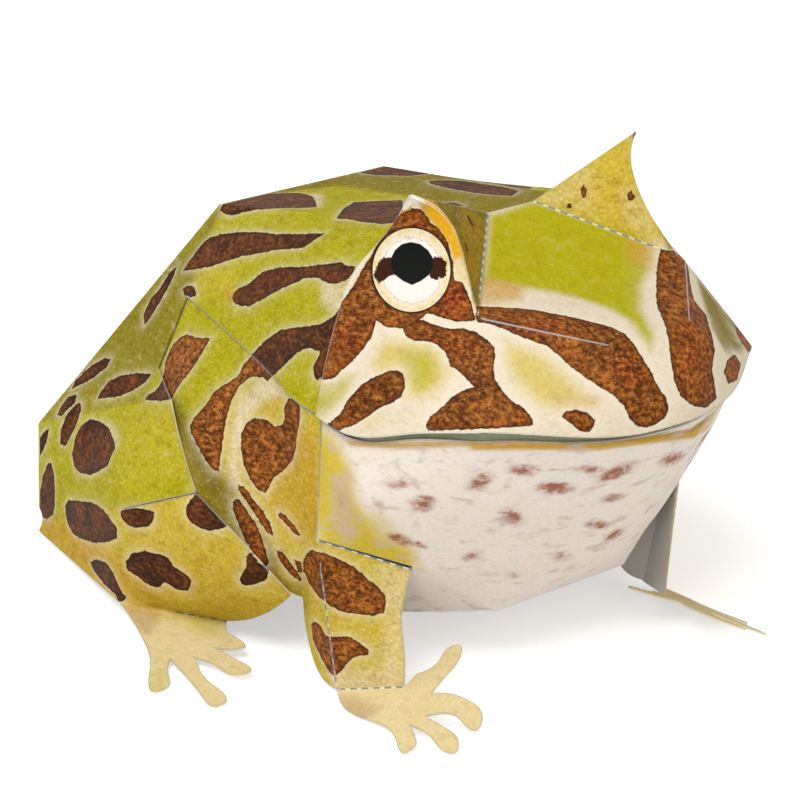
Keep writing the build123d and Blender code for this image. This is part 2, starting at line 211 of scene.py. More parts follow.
BLOTCHES = {
    "back ridge": [222, 205, 229, 201, 242, 197, 262, 194, 288, 193, 301, 193, 312, 196, 316, 202, 317, 207,
        306, 208, 285, 208, 262, 209, 244, 212, 232, 216, 225, 214, 220, 210],
    "back long upper": [208, 238, 222, 234, 239, 232, 260, 232, 278, 234, 301, 234, 325, 233, 316, 239,
        303, 248, 290, 249, 275, 250, 257, 254, 239, 257, 224, 262, 209, 267, 196, 269, 183, 271, 190, 260,
        199, 248],
    "back long lower": [232, 297, 237, 289, 250, 283, 262, 272, 280, 267, 301, 267, 316, 265, 326, 264,
        341, 262, 349, 266, 356, 266, 354, 272, 349, 279, 336, 284, 326, 283, 318, 278, 306, 278, 290, 285,
        275, 292, 265, 298, 250, 306, 241, 306, 234, 303],
    "back behind horn": [336, 219, 343, 209, 354, 202, 377, 201, 403, 200, 403, 209, 400, 216, 395, 223,
        382, 224, 362, 222, 349, 219],
    "back top rear": [357, 170, 382, 160, 402, 165, 428, 174, 407, 176, 376, 175, 361, 173],
    "back top front": [428, 181, 443, 180, 463, 181, 484, 184, 504, 187, 519, 191, 512, 196, 494, 195,
        476, 193, 463, 191, 443, 187, 431, 184],
    "back fleck": [444, 203, 453, 202, 464, 206, 458, 206, 448, 206],
    "back rump edge": [144, 326, 144, 313, 150, 300, 160, 288, 170, 272, 177, 266, 173, 278, 165, 293,
        158, 306, 150, 318],
    "back small": [183, 289, 188, 285, 194, 286, 197, 295, 191, 298, 184, 294],
    "both dart": [174, 344, 179, 338, 186, 334, 199, 338, 211, 338, 206, 346, 200, 357, 196, 362, 190, 372,
        183, 380, 174, 394, 172, 397, 169, 400, 159, 401, 145, 400, 148, 395, 155, 391, 160, 385, 164, 374,
        165, 362, 169, 352],
    "back rump low": [97, 399, 102, 390, 109, 381, 122, 375, 137, 373, 151, 374, 146, 382, 132, 391,
        120, 396, 107, 398],
    "back rump a": [71, 390, 75, 381, 84, 372, 94, 364, 104, 358, 111, 359, 107, 367, 96, 376, 86, 382,
        76, 387],
    "back rump b": [57, 415, 61, 406, 68, 397, 77, 394, 75, 403, 67, 410, 61, 417],
    "back rump c": [60, 441, 61, 428, 67, 414, 75, 405, 81, 402, 81, 410, 77, 423, 71, 436, 66, 446,
        61, 445],
    "back thigh round": [72, 454, 75, 438, 81, 426, 90, 419, 102, 422, 109, 428, 113, 438, 116, 447,
        111, 456, 108, 466, 99, 471, 91, 475, 80, 473, 74, 466],
    "back thigh rear": [39, 457, 39, 441, 43, 432, 49, 429, 47, 441, 43, 451],
    "back thigh tail": [40, 510, 40, 492, 43, 476, 47, 464, 51, 462, 54, 474, 55, 489, 55, 505, 53, 515,
        47, 519, 42, 517],
    "back thigh low": [65, 506, 68, 500, 81, 501, 94, 503, 104, 510, 111, 520, 117, 528, 117, 538, 109, 542,
        96, 543, 84, 540, 74, 535, 68, 525, 66, 515],
    "back slit": [120, 511, 127, 509, 137, 508, 148, 510, 154, 512, 154, 520, 149, 526, 137, 528, 127, 525,
        121, 517],
    "back knee": [186, 507, 190, 501, 195, 494, 196, 476, 201, 473, 210, 479, 219, 489, 224, 502, 227, 515,
        228, 525, 222, 529, 209, 531, 199, 528, 191, 522, 186, 516],
    "back shank": [126, 561, 132, 553, 145, 551, 158, 554, 168, 557, 173, 566, 186, 574, 192, 581, 188, 591,
        178, 590, 165, 582, 158, 588, 148, 585, 137, 576, 127, 570],
    "back heel": [90, 562, 96, 559, 107, 563, 114, 574, 118, 584, 122, 592, 127, 598, 122, 603, 118, 602,
        116, 595, 104, 584, 94, 571],
    "back shank front": [239, 579, 246, 568, 246, 558, 248, 553, 255, 553, 257, 563, 262, 563, 269, 570,
        267, 579, 257, 584, 247, 586, 241, 585],
    "both arc": [190, 426, 194, 418, 206, 405, 214, 392, 224, 385, 237, 377, 244, 364, 257, 349, 267, 339,
        280, 330, 296, 327, 311, 326, 321, 324, 334, 316, 341, 303, 336, 329, 327, 354, 324, 374, 320, 383,
        314, 377, 313, 367, 321, 352, 308, 348, 298, 352, 288, 362, 275, 374, 267, 381, 262, 377, 250, 377,
        239, 387, 232, 400, 227, 415, 224, 431, 222, 446, 220, 461, 219, 471, 214, 470, 206, 461, 196, 443,
        191, 433],
    "flank speckled": [241, 448, 241, 433, 247, 422, 256, 418, 267, 420, 275, 427, 283, 424, 285, 417,
        284, 408, 288, 399, 296, 397, 300, 406, 300, 420, 297, 433, 296, 448, 292, 461, 283, 471, 273, 479,
        266, 494, 256, 488, 250, 479, 244, 466],
    "flank stripe a": [233, 501, 238, 498, 247, 510, 255, 522, 261, 535, 265, 548, 269, 563, 265, 568,
        257, 558, 251, 550, 244, 538, 237, 520, 233, 510],
    "flank stripe b": [237, 483, 244, 487, 252, 497, 262, 510, 270, 522, 274, 536, 267, 533, 257, 517,
        247, 502, 239, 492],
    "flank stripe c": [278, 512, 285, 515, 294, 525, 301, 536, 296, 535, 287, 525, 279, 517],
    "flank stripe d": [275, 548, 283, 553, 293, 566, 302, 579, 301, 582, 290, 574, 280, 561],
    "flank stripe e": [293, 558, 301, 563, 303, 574, 298, 571],
    "flank leg upper": [303, 563, 306, 554, 312, 550, 324, 553, 339, 559, 354, 567, 364, 576, 377, 586,
        385, 595, 386, 604, 384, 613, 373, 616, 357, 614, 341, 612, 329, 605, 318, 596, 308, 581, 304, 571],
    "flank leg lower": [311, 624, 315, 621, 321, 626, 326, 636, 336, 637, 349, 636, 362, 644, 370, 651,
        367, 655, 352, 658, 344, 668, 336, 676, 330, 673, 322, 660, 313, 640],
    "head snout near": [476, 306, 494, 307, 517, 308, 537, 310, 555, 314, 576, 318, 596, 323, 611, 327,
        624, 333, 634, 344, 644, 360, 653, 375, 657, 385, 665, 396, 669, 406, 666, 416, 657, 424, 647, 428,
        637, 426, 629, 418, 624, 406, 614, 396, 601, 388, 586, 378, 570, 366, 558, 355, 547, 346, 535, 342,
        519, 336, 504, 329, 490, 324, 476, 322],
    "head snout far": [660, 249, 667, 250, 678, 251, 685, 254, 688, 265, 690, 283, 694, 300, 706, 315,
        712, 335, 715, 350, 712, 370, 717, 398, 706, 408, 693, 406, 680, 396, 674, 380, 671, 362, 669, 344,
        665, 324, 657, 306, 656, 286, 657, 268],
    "head hourglass": [403, 329, 408, 322, 420, 319, 435, 325, 450, 329, 463, 328, 476, 332, 486, 339,
        495, 347, 495, 357, 494, 367, 495, 380, 502, 390, 512, 401, 524, 408, 532, 418, 533, 425, 524, 427,
        504, 428, 479, 429, 453, 430, 428, 431, 425, 426, 430, 417, 443, 406, 453, 396, 463, 390, 474, 387,
        463, 375, 450, 365, 445, 352, 433, 342, 415, 341, 406, 336],
    "head round the eye": [412, 208, 420, 209, 428, 217, 430, 222, 439, 228, 448, 242, 453, 263, 454, 279,
        463, 283, 470, 299, 476, 320, 458, 322, 443, 318, 428, 313, 417, 322, 410, 328, 397, 328, 387, 328,
        376, 320, 374, 329, 371, 339, 362, 351, 352, 362, 341, 371, 333, 379, 322, 380, 318, 375, 323, 360,
        328, 339, 334, 319, 342, 301, 354, 286, 362, 270, 373, 253, 383, 235, 397, 217],
    "head leaf": [325, 427, 331, 421, 341, 413, 347, 401, 361, 385, 376, 376, 389, 371, 398, 370, 404, 375,
        405, 388, 401, 397, 392, 403, 379, 408, 369, 416, 356, 424, 341, 430, 328, 432],
    "head far spot": [727, 360, 735, 354, 741, 364, 737, 380, 728, 384, 724, 372],
    "head far edge": [738, 322, 746, 332, 758, 346, 756, 360, 747, 350, 738, 336],
    "head brow speck": [580, 189, 584, 184, 587, 190, 586, 198, 582, 198],
    "head brow dot": [627, 194, 631, 190, 635, 196, 632, 201, 628, 200],
    "head brow mark": [567, 203, 571, 202, 572, 208, 568, 209],
    "head brow near mark": [466, 215, 469, 216, 475, 227, 471, 226],
    "head brow near fleck": [464, 242, 466, 244, 469, 252, 466, 251],
    "head small": [562, 417, 565, 411, 576, 410, 588, 413, 596, 421, 592, 429, 588, 432, 579, 431,
        573, 425],
}

# Paler or warmer fields, and some darker ones marked below as painted shade: piece, colour, softness in
# millimetres, strength, outline
WASHES = [
    ("head", "lime", 1.2, 1.0, [489, 216, 533, 201, 600, 225, 650, 244, 656, 262, 641, 285, 641, 310,
        654, 335, 649, 348, 632, 322, 612, 310, 585, 300, 555, 293, 520, 287, 484, 280, 485, 262]),
    ("head", "ochre", 1.0, 0.75, [481, 276, 505, 282, 524, 286, 522, 300, 505, 303, 478, 310]),
    ("head", "ochre", 1.0, 0.7, [626, 236, 684, 254, 682, 262, 655, 272, 628, 262]),
    ("head", "straw", 1.6, 0.9, [384, 344, 420, 338, 440, 350, 448, 375, 432, 392, 405, 398, 385, 385,
        372, 366]),
    ("head", "lime", 1.6, 0.85, [404, 350, 428, 350, 436, 372, 420, 388, 404, 380]),
    ("head", "straw", 1.8, 0.8, [508, 342, 540, 352, 570, 378, 592, 402, 562, 410, 535, 402, 515, 380,
        505, 357]),
    ("head", "ochre", 1.2, 0.55, [550, 394, 602, 397, 590, 411, 560, 411]),
    ("head", "lime", 1.4, 0.85, [312, 380, 354, 376, 346, 400, 322, 416, 308, 422]),
    ("head", "straw", 1.6, 0.4, [346, 402, 372, 396, 392, 410, 380, 426, 350, 428]),
    ("head", "amber", 0.6, 1.0, [426, 196, 440, 208, 452, 222, 459, 238, 464, 256, 454, 264, 448, 246,
        439, 232, 428, 219, 423, 208]),
    ("head", "ochre", 0.6, 0.9, [418, 200, 426, 206, 430, 220, 422, 214]),
    ("head", "tan", 0.6, 0.95, [453, 263, 463, 256, 468, 272, 470, 286, 463, 292, 456, 280]),
    ("head", "ochre", 0.5, 0.95, [402, 206, 412, 203, 412, 210, 398, 228, 376, 262, 363, 286, 350, 290,
        380, 238]),
    ("head", "card", 0.15, 1.0, [402, 210, 403, 192, 414, 190, 424, 201, 412, 204, 406, 210]),
    # Painted shade: the near brow's inner face, which lies in shade, is washed olive over its ochre ground.
    ("head", "olive", 0.4, 0.95, [428, 194, 489, 213, 485, 262, 480, 314, 473, 300, 465, 262, 455, 228,
        440, 208]),
    ("head", "ochre", 1.2, 0.35, [462, 205, 486, 225, 480, 290, 468, 280, 462, 240]),
    ("head", "tan", 1.6, 0.4, [533, 200, 590, 165, 600, 180, 590, 214, 560, 208]),
    ("head", "straw", 1.4, 0.6, [600, 170, 622, 150, 628, 200, 610, 212]),
    ("head", "tan", 1.0, 0.4, [618, 188, 636, 182, 652, 215, 648, 232, 622, 222]),
    ("head", "olive", 0.7, 0.8, [660, 225, 672, 236, 684, 254, 668, 250]),
    # Painted shade: dark olive washes over the far side of the head, which lies in shade.
    ("head", "olive", 1.0, 0.95, [692, 262, 702, 274, 742, 330, 752, 346, 728, 356, 712, 330, 700, 290]),
    ("head", "olive", 0.8, 0.9, [716, 290, 738, 318, 756, 344, 748, 352, 732, 326, 714, 302]),
    ("head", "char", 0.4, 1.0, [628, 120, 644, 120, 641, 137, 633, 138]),
    ("head", "straw", 0.9, 0.45, [560, 205, 596, 176, 606, 180, 572, 212]),
    # Painted shade: olive washes darken the back's top, which turns away from the light, and the side of
    # the rump.
    ("back", "olive", 1.6, 0.85, [222, 150, 560, 150, 560, 215, 488, 216, 410, 196, 340, 186, 300, 190,
        222, 207]),
    ("back", "olive", 2.5, 0.5, [150, 280, 222, 205, 190, 296, 157, 368, 75, 400, 60, 400]),
    ("back", "straw", 3.0, 0.8, [110, 520, 200, 505, 232, 560, 255, 600, 200, 625, 119, 606, 90, 570]),
    ("back", "ochre", 3.0, 0.6, [36, 500, 70, 525, 125, 560, 165, 600, 119, 606, 60, 550, 36, 532]),
    ("back", "ochre", 1.6, 0.25, [175, 575, 210, 560, 250, 600, 285, 600, 250, 625, 200, 612]),
    ("back", "straw", 3.0, 0.35, [120, 404, 172, 402, 190, 470, 120, 490]),
    ("back", "cream", 0.8, 0.65, [173, 324, 208, 325, 210, 336, 186, 334, 176, 340]),
    ("back", "cream", 1.0, 0.75, [322, 284, 350, 284, 366, 262, 372, 270, 356, 300, 334, 312, 320, 302]),
    ("back", "cream", 0.6, 0.8, [313, 193, 324, 195, 320, 206, 315, 206]),
    ("back", "cream", 0.8, 0.5, [108, 420, 118, 430, 120, 446, 112, 440]),
    ("back", "ochre", 0.5, 0.9, [225, 289, 233, 288, 236, 302, 227, 302]),
    ("back", "straw", 2.0, 0.5, [196, 262, 240, 264, 232, 292, 196, 300]),
    ("back", "rust", 0.9, 0.35, [122, 604, 160, 606, 158, 622, 148, 636, 136, 628]),
    ("back", "tan", 1.2, 0.6, [150, 640, 165, 690, 150, 700, 145, 660]),
    ("back", "lime", 1.4, 0.4, [185, 612, 222, 620, 224, 640, 200, 634]),
    ("back", "lime", 1.0, 0.3, [148, 672, 168, 668, 166, 694, 148, 694]),
    ("flank", "lime", 1.6, 1.0, [187, 292, 278, 374, 262, 384, 236, 392, 214, 440, 198, 444, 172, 404,
        154, 368]),
    ("flank", "lime", 1.4, 0.9, [262, 376, 300, 340, 326, 340, 318, 424, 296, 408, 284, 388]),
    ("flank", "cream", 1.2, 0.8, [232, 430, 240, 395, 262, 380, 285, 378, 287, 394, 262, 402, 245, 420,
        238, 450, 240, 480, 228, 492]),
    ("flank", "cream", 1.0, 0.7, [282, 372, 300, 352, 316, 352, 316, 374, 300, 380]),
    ("flank", "ochre", 2.0, 0.5, [296, 430, 318, 440, 320, 540, 300, 545, 270, 500]),
    ("flank", "tan", 1.2, 0.9, [328, 672, 405, 666, 406, 694, 334, 697]),
    ("flank", "tan", 1.4, 0.75, [374, 566, 414, 566, 403, 612, 406, 692, 388, 692, 378, 650, 390, 612,
        386, 590]),
    # Painted shade: olive and near-black washes darken the crease behind the thigh's front edge.
    ("flank", "olive", 1.6, 0.8, [172, 404, 190, 436, 215, 475, 250, 540, 300, 600, 280, 602, 222, 545,
        196, 494]),
    ("flank", "char", 1.8, 0.5, [172, 398, 182, 402, 196, 430, 214, 460, 240, 490, 262, 530, 284, 566,
        266, 568, 235, 520, 205, 478, 186, 440]),
    ("flank", "rust", 1.0, 0.35, [337, 697, 352, 696, 380, 710, 360, 724, 344, 712]),
    ("chin", "straw", 2.0, 1.0, [300, 405, 336, 440, 352, 470, 356, 500, 380, 536, 412, 552, 420, 574,
        318, 550, 304, 480]),
    ("chin", "pink", 1.4, 0.6, [330, 478, 348, 470, 352, 500, 360, 530, 345, 545, 332, 520]),
    ("chin", "straw", 1.6, 0.5, [352, 520, 380, 512, 412, 545, 416, 560, 380, 548]),
    ("chin", "ochre", 0.4, 0.85, [345, 440, 400, 442, 480, 440, 482, 446, 400, 449, 350, 446]),
    ("chin", "ochre", 0.45, 0.95, [470, 440, 600, 442, 690, 429, 745, 390, 750, 400, 694, 438, 600, 450,
        470, 450]),
    ("chin", "olive", 0.3, 0.6, [560, 441, 640, 438, 690, 429, 745, 390, 747, 394, 692, 432, 640, 441,
        560, 444]),
]

# Soft spots of the chin and warm places of the head: place, half lengths, turn in degrees, strength
WARMTH = [
    (455, 300, 14, 16, 20, 1.0), (452, 345, 22, 9, 20, 0.35), (545, 328, 26, 7, 12, 0.6),
    (630, 372, 16, 12, 40, 0.5), (690, 350, 10, 30, 0, 0.45), (352, 345, 14, 16, -30, 0.5),
    (415, 222, 9, 8, 0, 0.4), (300, 335, 26, 8, -15, 0.7)]
BLUSHES = [
    (396, 484, 20, 6, 0, 0.55), (423, 503, 12, 8, 0, 0.9), (480, 481, 16, 8, -25, 0.7),
    (523, 470, 17, 6, 0, 0.7), (555, 488, 17, 6, 0, 1.0), (587, 469, 16, 4, 0, 0.7),
    (617, 472, 20, 6, -24, 0.9), (612, 498, 13, 4, -12, 0.8), (598, 525, 13, 4, 0, 0.8),
    (614, 535, 12, 4, -30, 0.8), (512, 517, 13, 8, 20, 0.75), (565, 518, 8, 2.5, 0, 0.5),
    (472, 556, 13, 6, -20, 0.5), (561, 556, 13, 6, 0, 0.5), (512, 575, 10, 5, 0, 0.4),
    (401, 540, 14, 5, 20, 0.9), (378, 505, 7, 5, 0, 0.45), (507, 485, 6, 5, 0, 0.4),
    (491, 530, 9, 5, 0, 0.35), (522, 538, 8, 4, 20, 0.35), (572, 567, 12, 4, -25, 0.4),
    (545, 530, 8, 3, 0, 0.35), (446, 520, 6, 4, 0, 0.3), (590, 548, 8, 3, -20, 0.35),
    (672, 459, 13, 6, -20, 0.8), (677, 480, 9, 3, -45, 0.7), (655, 505, 12, 3, -40, 0.6),
    (640, 540, 12, 3, -40, 0.4), (341, 500, 6, 12, 0, 0.3), (420, 482, 22, 3, 0, 0.3),
    (555, 470, 60, 2, 0, 0.35), (520, 540, 30, 2, 0, 0.2), (560, 570, 20, 2, -20, 0.2),
    (420, 545, 8, 4, 20, 0.6)]

# Spots of panels that face away from the camera: centre, half length, half width, in millimetres
REAR_SPOTS = [
    ((-8.0, 39.0, 52.0), (4.6, 0.0, 0.6), (0.0, 1.2, -2.4)),
    ((9.0, 43.0, 43.0), (3.0, 0.6, -1.4), (1.2, 1.8, -3.4)),
    ((-20.0, 44.0, 40.5), (5.4, 0.2, 0.4), (0.4, 1.3, -2.7)),
    ((24.0, 41.0, 47.0), (2.6, 0.5, -1.0), (1.0, 1.5, -3.0)),
    ((-2.0, 47.5, 33.5), (6.4, 0.0, -0.6), (0.3, 1.1, -2.3)),
    ((22.0, 49.0, 29.5), (4.8, 0.4, -0.8), (0.5, 1.4, -2.9)),
    ((-31.0, 50.0, 27.5), (3.2, 0.4, -0.8), (0.8, 1.9, -3.8)),
    ((36.0, 52.4, 22.4), (3.0, 0.0, 0.0), (0.0, 0.9, -1.9)),
    ((-12.0, 54.4, 13.5), (5.6, 0.0, 0.6), (0.0, 0.3, -2.5)),
    ((12.0, 54.6, 12.0), (3.2, 0.0, -0.8), (0.5, 0.4, -3.4)),
    ((-32.0, 55.2, 8.5), (4.2, 0.0, 0.0), (0.0, 0.4, -3.0)),
    ((32.0, 55.0, 10.0), (4.6, 0.0, 1.0), (0.0, 0.4, -2.6))]

# Eye as it shows from the camera: ring, pupil and the bars beside it
EYE = (411.5, 270.0, 38.8, 41.8)
PUPIL = [391, 258, 395, 250, 402, 244, 411, 242, 420, 244, 428, 250, 433, 258, 433, 267, 429, 275, 421, 281,
         412, 285, 403, 281, 395, 275, 391, 267]
BARS = [[377, 262, 384, 257, 396, 256, 396, 272, 386, 279, 378, 284, 374, 275],
        [426, 257, 440, 257, 448, 262, 446, 276, 436, 281, 428, 275]]

# The camera's place and directions, in millimetres before the shift, and picture points per unit slope

EYE_POINT = np.array([-243.714, -302.759, 193.483])
ACROSS = np.array([0.78801, -0.61566, 0.0])
UPWARD = np.array([0.23560, 0.30156, 0.92388])
BACKWARD = np.array([-0.56880, -0.72803, 0.38268])
FOCUS = 2600.0

# Distances in millimetres: where no outline is near, and how far edges and folds are measured
FAR, EDGE_REACH, FOLD_REACH = 9.0, 4.0, 3.0
DISTANCES = ("spot", "ring", "pupil", "bar")

# The pale ring round the spots: strength and reach; a wash with an edge as soft as this or less covers it
RINGS = {"head": (0.85, 1.3), "back": (0.5, 0.6), "chin": (0.5, 0.6), "flank": (0.5, 0.7)}
CRISP = 0.8

# Spot colour per piece: the shares of lighter brown where it is darkest and where it is brightest. The
# back's spots get the least, so they print darkest, as painted shade of the back's top.
SPOT_LIFT = {"head": (0.45, 1.0), "back": (0.0, 0.35), "chin": (0.3, 0.9), "flank": (0.5, 1.0)}

LIP_INSET, LIP_GAP = 1.3, 1.2
TUCKED = (0.34, 0.0, -0.36)
CREASE = 16  # Edges that turn by more degrees than this look sharp
RELIEF = 0.00003  # Height of the card's grain, in metres
AIM = Vector((0.0, 0.0, 0.03))  # Where the lamps point, in metres


def flip(point):
    """The mirror point on the frog's other side."""
    return (-point[0], point[1], point[2])


def moved(point, shift, share=1.0):
    """A point moved by a share of the shift."""
    return tuple(place + move * share for place, move in zip(point, shift))


def tuck(point):
    """The point of a sheet that lies glued under the edge at this point."""
    return moved(point, TUCKED)


def inwards(point, depth, rise):
    """A point moved level towards the middle of the throat by a depth, and up by a rise."""
    inward = np.array([-point[0], -16.0 - point[1]])
    inward = inward / np.hypot(*inward) * depth
    return moved(point, (inward[0], inward[1], rise))


def on_side(sign, *lines):
    """The lines with each point as it is, or flipped: sign is tuple or flip."""
    return [[sign(point) for point in line] for line in lines]


def smooth_line(points):
    """Many points along a smooth line: per span a cubic of place and slope at both ends.

    The slopes make the second derivative run on over each point; the end slopes are those of the
    parabola through the three nearest points. The parameter is the length of the chords.
    """
    knots = np.array(points, float)
    if len(knots) == 2:
        return knots
    steps = np.linalg.norm(np.diff(knots, axis=0), axis=1)
    slopes = np.diff(knots, axis=0) / steps[:, None]
    count = len(knots)
    rows = np.zeros((count, count))
    right = np.zeros((count, 3))
    rows[0, 0] = rows[-1, -1] = 1
    right[0] = slopes[0] - (slopes[1] - slopes[0]) * steps[0] / (steps[0] + steps[1])
    right[-1] = slopes[-1] + (slopes[-1] - slopes[-2]) * steps[-1] / (steps[-1] + steps[-2])
    for k in range(1, count - 1):
        rows[k, k - 1:k + 2] = steps[k], 2 * (steps[k - 1] + steps[k]), steps[k - 1]
        right[k] = 3 * (steps[k] * slopes[k - 1] + steps[k - 1] * slopes[k])
    tangents = np.linalg.solve(rows, right)
    u = np.linspace(0, 1, 33)[None, :-1, None]
    h = steps[:, None, None]
    a, b = knots[:-1, None], knots[1:, None]
    s, t = tangents[:-1, None], tangents[1:, None]
    line = (a * (1 - 3 * u ** 2 + 2 * u ** 3) + b * (3 * u ** 2 - 2 * u ** 3)
            + h * s * (u - 2 * u ** 2 + u ** 3) + h * t * (u ** 3 - u ** 2))
    return np.vstack([line.reshape(-1, 3), knots[-1:]])


def along(line):
    """Length from the start of a line to each of its points."""
    return np.concatenate([[0.0], np.cumsum(np.linalg.norm(np.diff(line, axis=0), axis=1))])


class Rim:
    """The sides of the panels: each is sampled once, so panels that share one join exactly."""

    def __init__(self, spacing):
        self.spacing = spacing
        self.lines = {}
        self.parent = {}
        self.counts = {}

    def key(self, side):
        """The side's name, the same in both directions; a new side gets its smooth line."""
        side = tuple(tuple(float(place) for place in point) for point in side)
        name = min(side, side[::-1])
        if name not in self.lines:
            self.lines[name] = smooth_line(name)
            self.parent[name] = name
        return name

    def root(self, name):
        """The side whose count of steps this one shares."""
        while self.parent[name] != name:
            name = self.parent[name]
        return name

    def tie(self, one, other):
        """Opposite sides of a panel get one count of steps, part by part."""
        if isinstance(one, Chain):
            for part, twin in zip(one, other[::-1]):
                self.tie(part, twin)
            return
        self.parent[self.root(self.key(one))] = self.root(self.key(other))

    def settle(self):
        """The count of steps of each group: its longest side's length over the spacing, rounded up."""
        for name, line in self.lines.items():
            need = max(1, int(np.ceil(along(line)[-1] / self.spacing)))
            group = self.root(name)
            self.counts[group] = max(self.counts.get(group, 1), need)

    def points(self, side):
        """The side's points at even lengths, in its own direction; a chain's parts follow each other."""
        if isinstance(side, Chain):
            parts = [self.points(part) for part in side]
            return np.vstack([part[:-1] for part in parts] + [parts[-1][-1:]])
        name = self.key(side)
        line = self.lines[name]
        reach = along(line)
        marks = np.linspace(0, reach[-1], self.counts[self.root(name)] + 1)
        spread = np.stack([np.interp(marks, reach, line[:, axis]) for axis in range(3)], axis=1)
        spread[0], spread[-1] = name[0], name[-1]
        first = tuple(float(place) for place in side[0])
        return spread if first == name[0] and name != name[::-1] else spread[::-1]


class Chain(list):
    """A side made of several lines in a row."""


def chain(*corners):
    """Straight lines from corner to corner as one side."""
    return Chain([list(pair) for pair in zip(corners, corners[1:])])


def panel(view, *sides, inside=(0.0, 0.0, 25.0)):
    """A curved panel with three or four sides in order; view says how its print is looked up."""
    sides = [side if isinstance(side, Chain) else [tuple(point) for point in side] for side in sides]
    return {"view": view, "sides": sides, "inside": inside}


def flat(view, *corners, inside=(0.0, 0.0, 25.0)):
    """A panel with straight sides between the corners."""
    return panel(view, *zip(corners, corners[1:] + corners[:1]), inside=inside)


def foot(view, fold_outer, fold_inner, low, toes):
    """A flat foot beyond its ankle fold; its outline runs through the toes' points."""
    outer, inner, low = np.array(fold_outer), np.array(fold_inner), np.array(low)
    right = (inner - outer) / np.linalg.norm(inner - outer)
    ahead = (low - outer) - right * np.dot(low - outer, right)
    ahead /= np.linalg.norm(ahead)
    sides, last = [], fold_outer
    for toe in toes:
        rim = [tuple((outer + right * u + ahead * v).tolist()) for u, v in toe]
        sides.append([last, *rim])
        last = rim[-1]
    made = panel(view, [fold_inner, fold_outer], *sides, [last, fold_inner], inside=tuple(low - [0, 0, 40]))
    made["axes"] = (outer, right, ahead)
    return made


def mirror(panels):
    """The same panels on the frog's other side."""
    other = []
    for made in panels:
        twin = dict(made)
        twin["sides"] = [Chain(on_side(flip, *side)) if isinstance(side, Chain) else on_side(flip, side)[0]
                         for side in made["sides"]]
        twin["inside"] = flip(made["inside"])
        if "axes" in made:
            twin["axes"] = tuple(axis * [-1, 1, 1] for axis in made["axes"])
        other.append(twin)
    return other


def patch_grid(sides):
    """Grid between four sampled sides: the two ways of blending opposite sides, added, less the
    blend of the corners. Both blends are straight in their parameter."""
    lower, right, upper, left = sides
    upper, left = upper[::-1], left[::-1]
    u = np.linspace(0, 1, len(lower))[:, None, None]
    v = np.linspace(0, 1, len(right))[None, :, None]
    grid = ((1 - v) * lower[:, None] + v * upper[:, None] + (1 - u) * left[None] + u * right[None]
            - (1 - u) * (1 - v) * lower[0] - u * (1 - v) * lower[-1]
            - (1 - u) * v * upper[0] - u * v * upper[-1])
    grid[:, 0], grid[:, -1], grid[0], grid[-1] = lower, upper, left, right
    return grid


def grid_triangles(across, deep):
    """Two triangles for each cell of a grid of across by deep points."""
    index = np.arange(across * deep).reshape(across, deep)
    a, b, c, d = index[:-1, :-1], index[1:, :-1], index[1:, 1:], index[:-1, 1:]
    return np.concatenate([np.stack([a, b, c], -1).reshape(-1, 3), np.stack([a, c, d], -1).reshape(-1, 3)])


def foot_mesh(made, rim):
    """A flat foot: its outline, with an even lattice of points inside, joined into triangles."""
    origin, right, ahead = made["axes"]
    outline = np.vstack([rim.points(side)[:-1] for side in made["sides"]])
    flat_rim = np.stack([(outline - origin) @ right, (outline - origin) @ ahead], 1)
    low, high = flat_rim.min(0), flat_rim.max(0)
    step = rim.spacing
    lattice = np.stack(np.meshgrid(np.arange(low[0], high[0], step), np.arange(low[1], high[1], step)), -1)
    lattice = lattice.reshape(-1, 2)
    gap = np.sqrt(((lattice[:, None] - flat_rim[None]) ** 2).sum(-1)).min(1)
    lattice = lattice[inside_outline(lattice, flat_rim) & (gap > 0.55 * step)]
    points = np.vstack([flat_rim, lattice])
    ring = list(range(len(flat_rim)))
    found = delaunay_2d_cdt([Vector(place) for place in points.tolist()], [], [ring], 1, 1e-5)
    places = np.array([tuple(place) for place in found[0]])
    spots = origin + places[:, :1] * right + places[:, 1:] * ahead
    source = np.array([ids[0] if ids else -1 for ids in found[3]])
    rim_points = (source >= 0) & (source < len(outline))
    spots[rim_points] = outline[source[rim_points]]
    return spots, np.array(found[2])


def inside_outline(points, outline):
    """True for points inside a closed outline: a ray to the right crosses it an odd number of times."""
    a, b = outline, np.roll(outline, -1, axis=0)
    above = (a[None, :, 1] > points[:, 1:2]) != (b[None, :, 1] > points[:, 1:2])
    rise = np.where(b[:, 1] == a[:, 1], 1e-9, b[:, 1] - a[:, 1])
    cross = a[None, :, 0] + (points[:, 1:2] - a[None, :, 1]) * ((b - a)[:, 0] / rise)[None]
    return (above & (points[:, :1] < cross)).sum(1) % 2 == 1


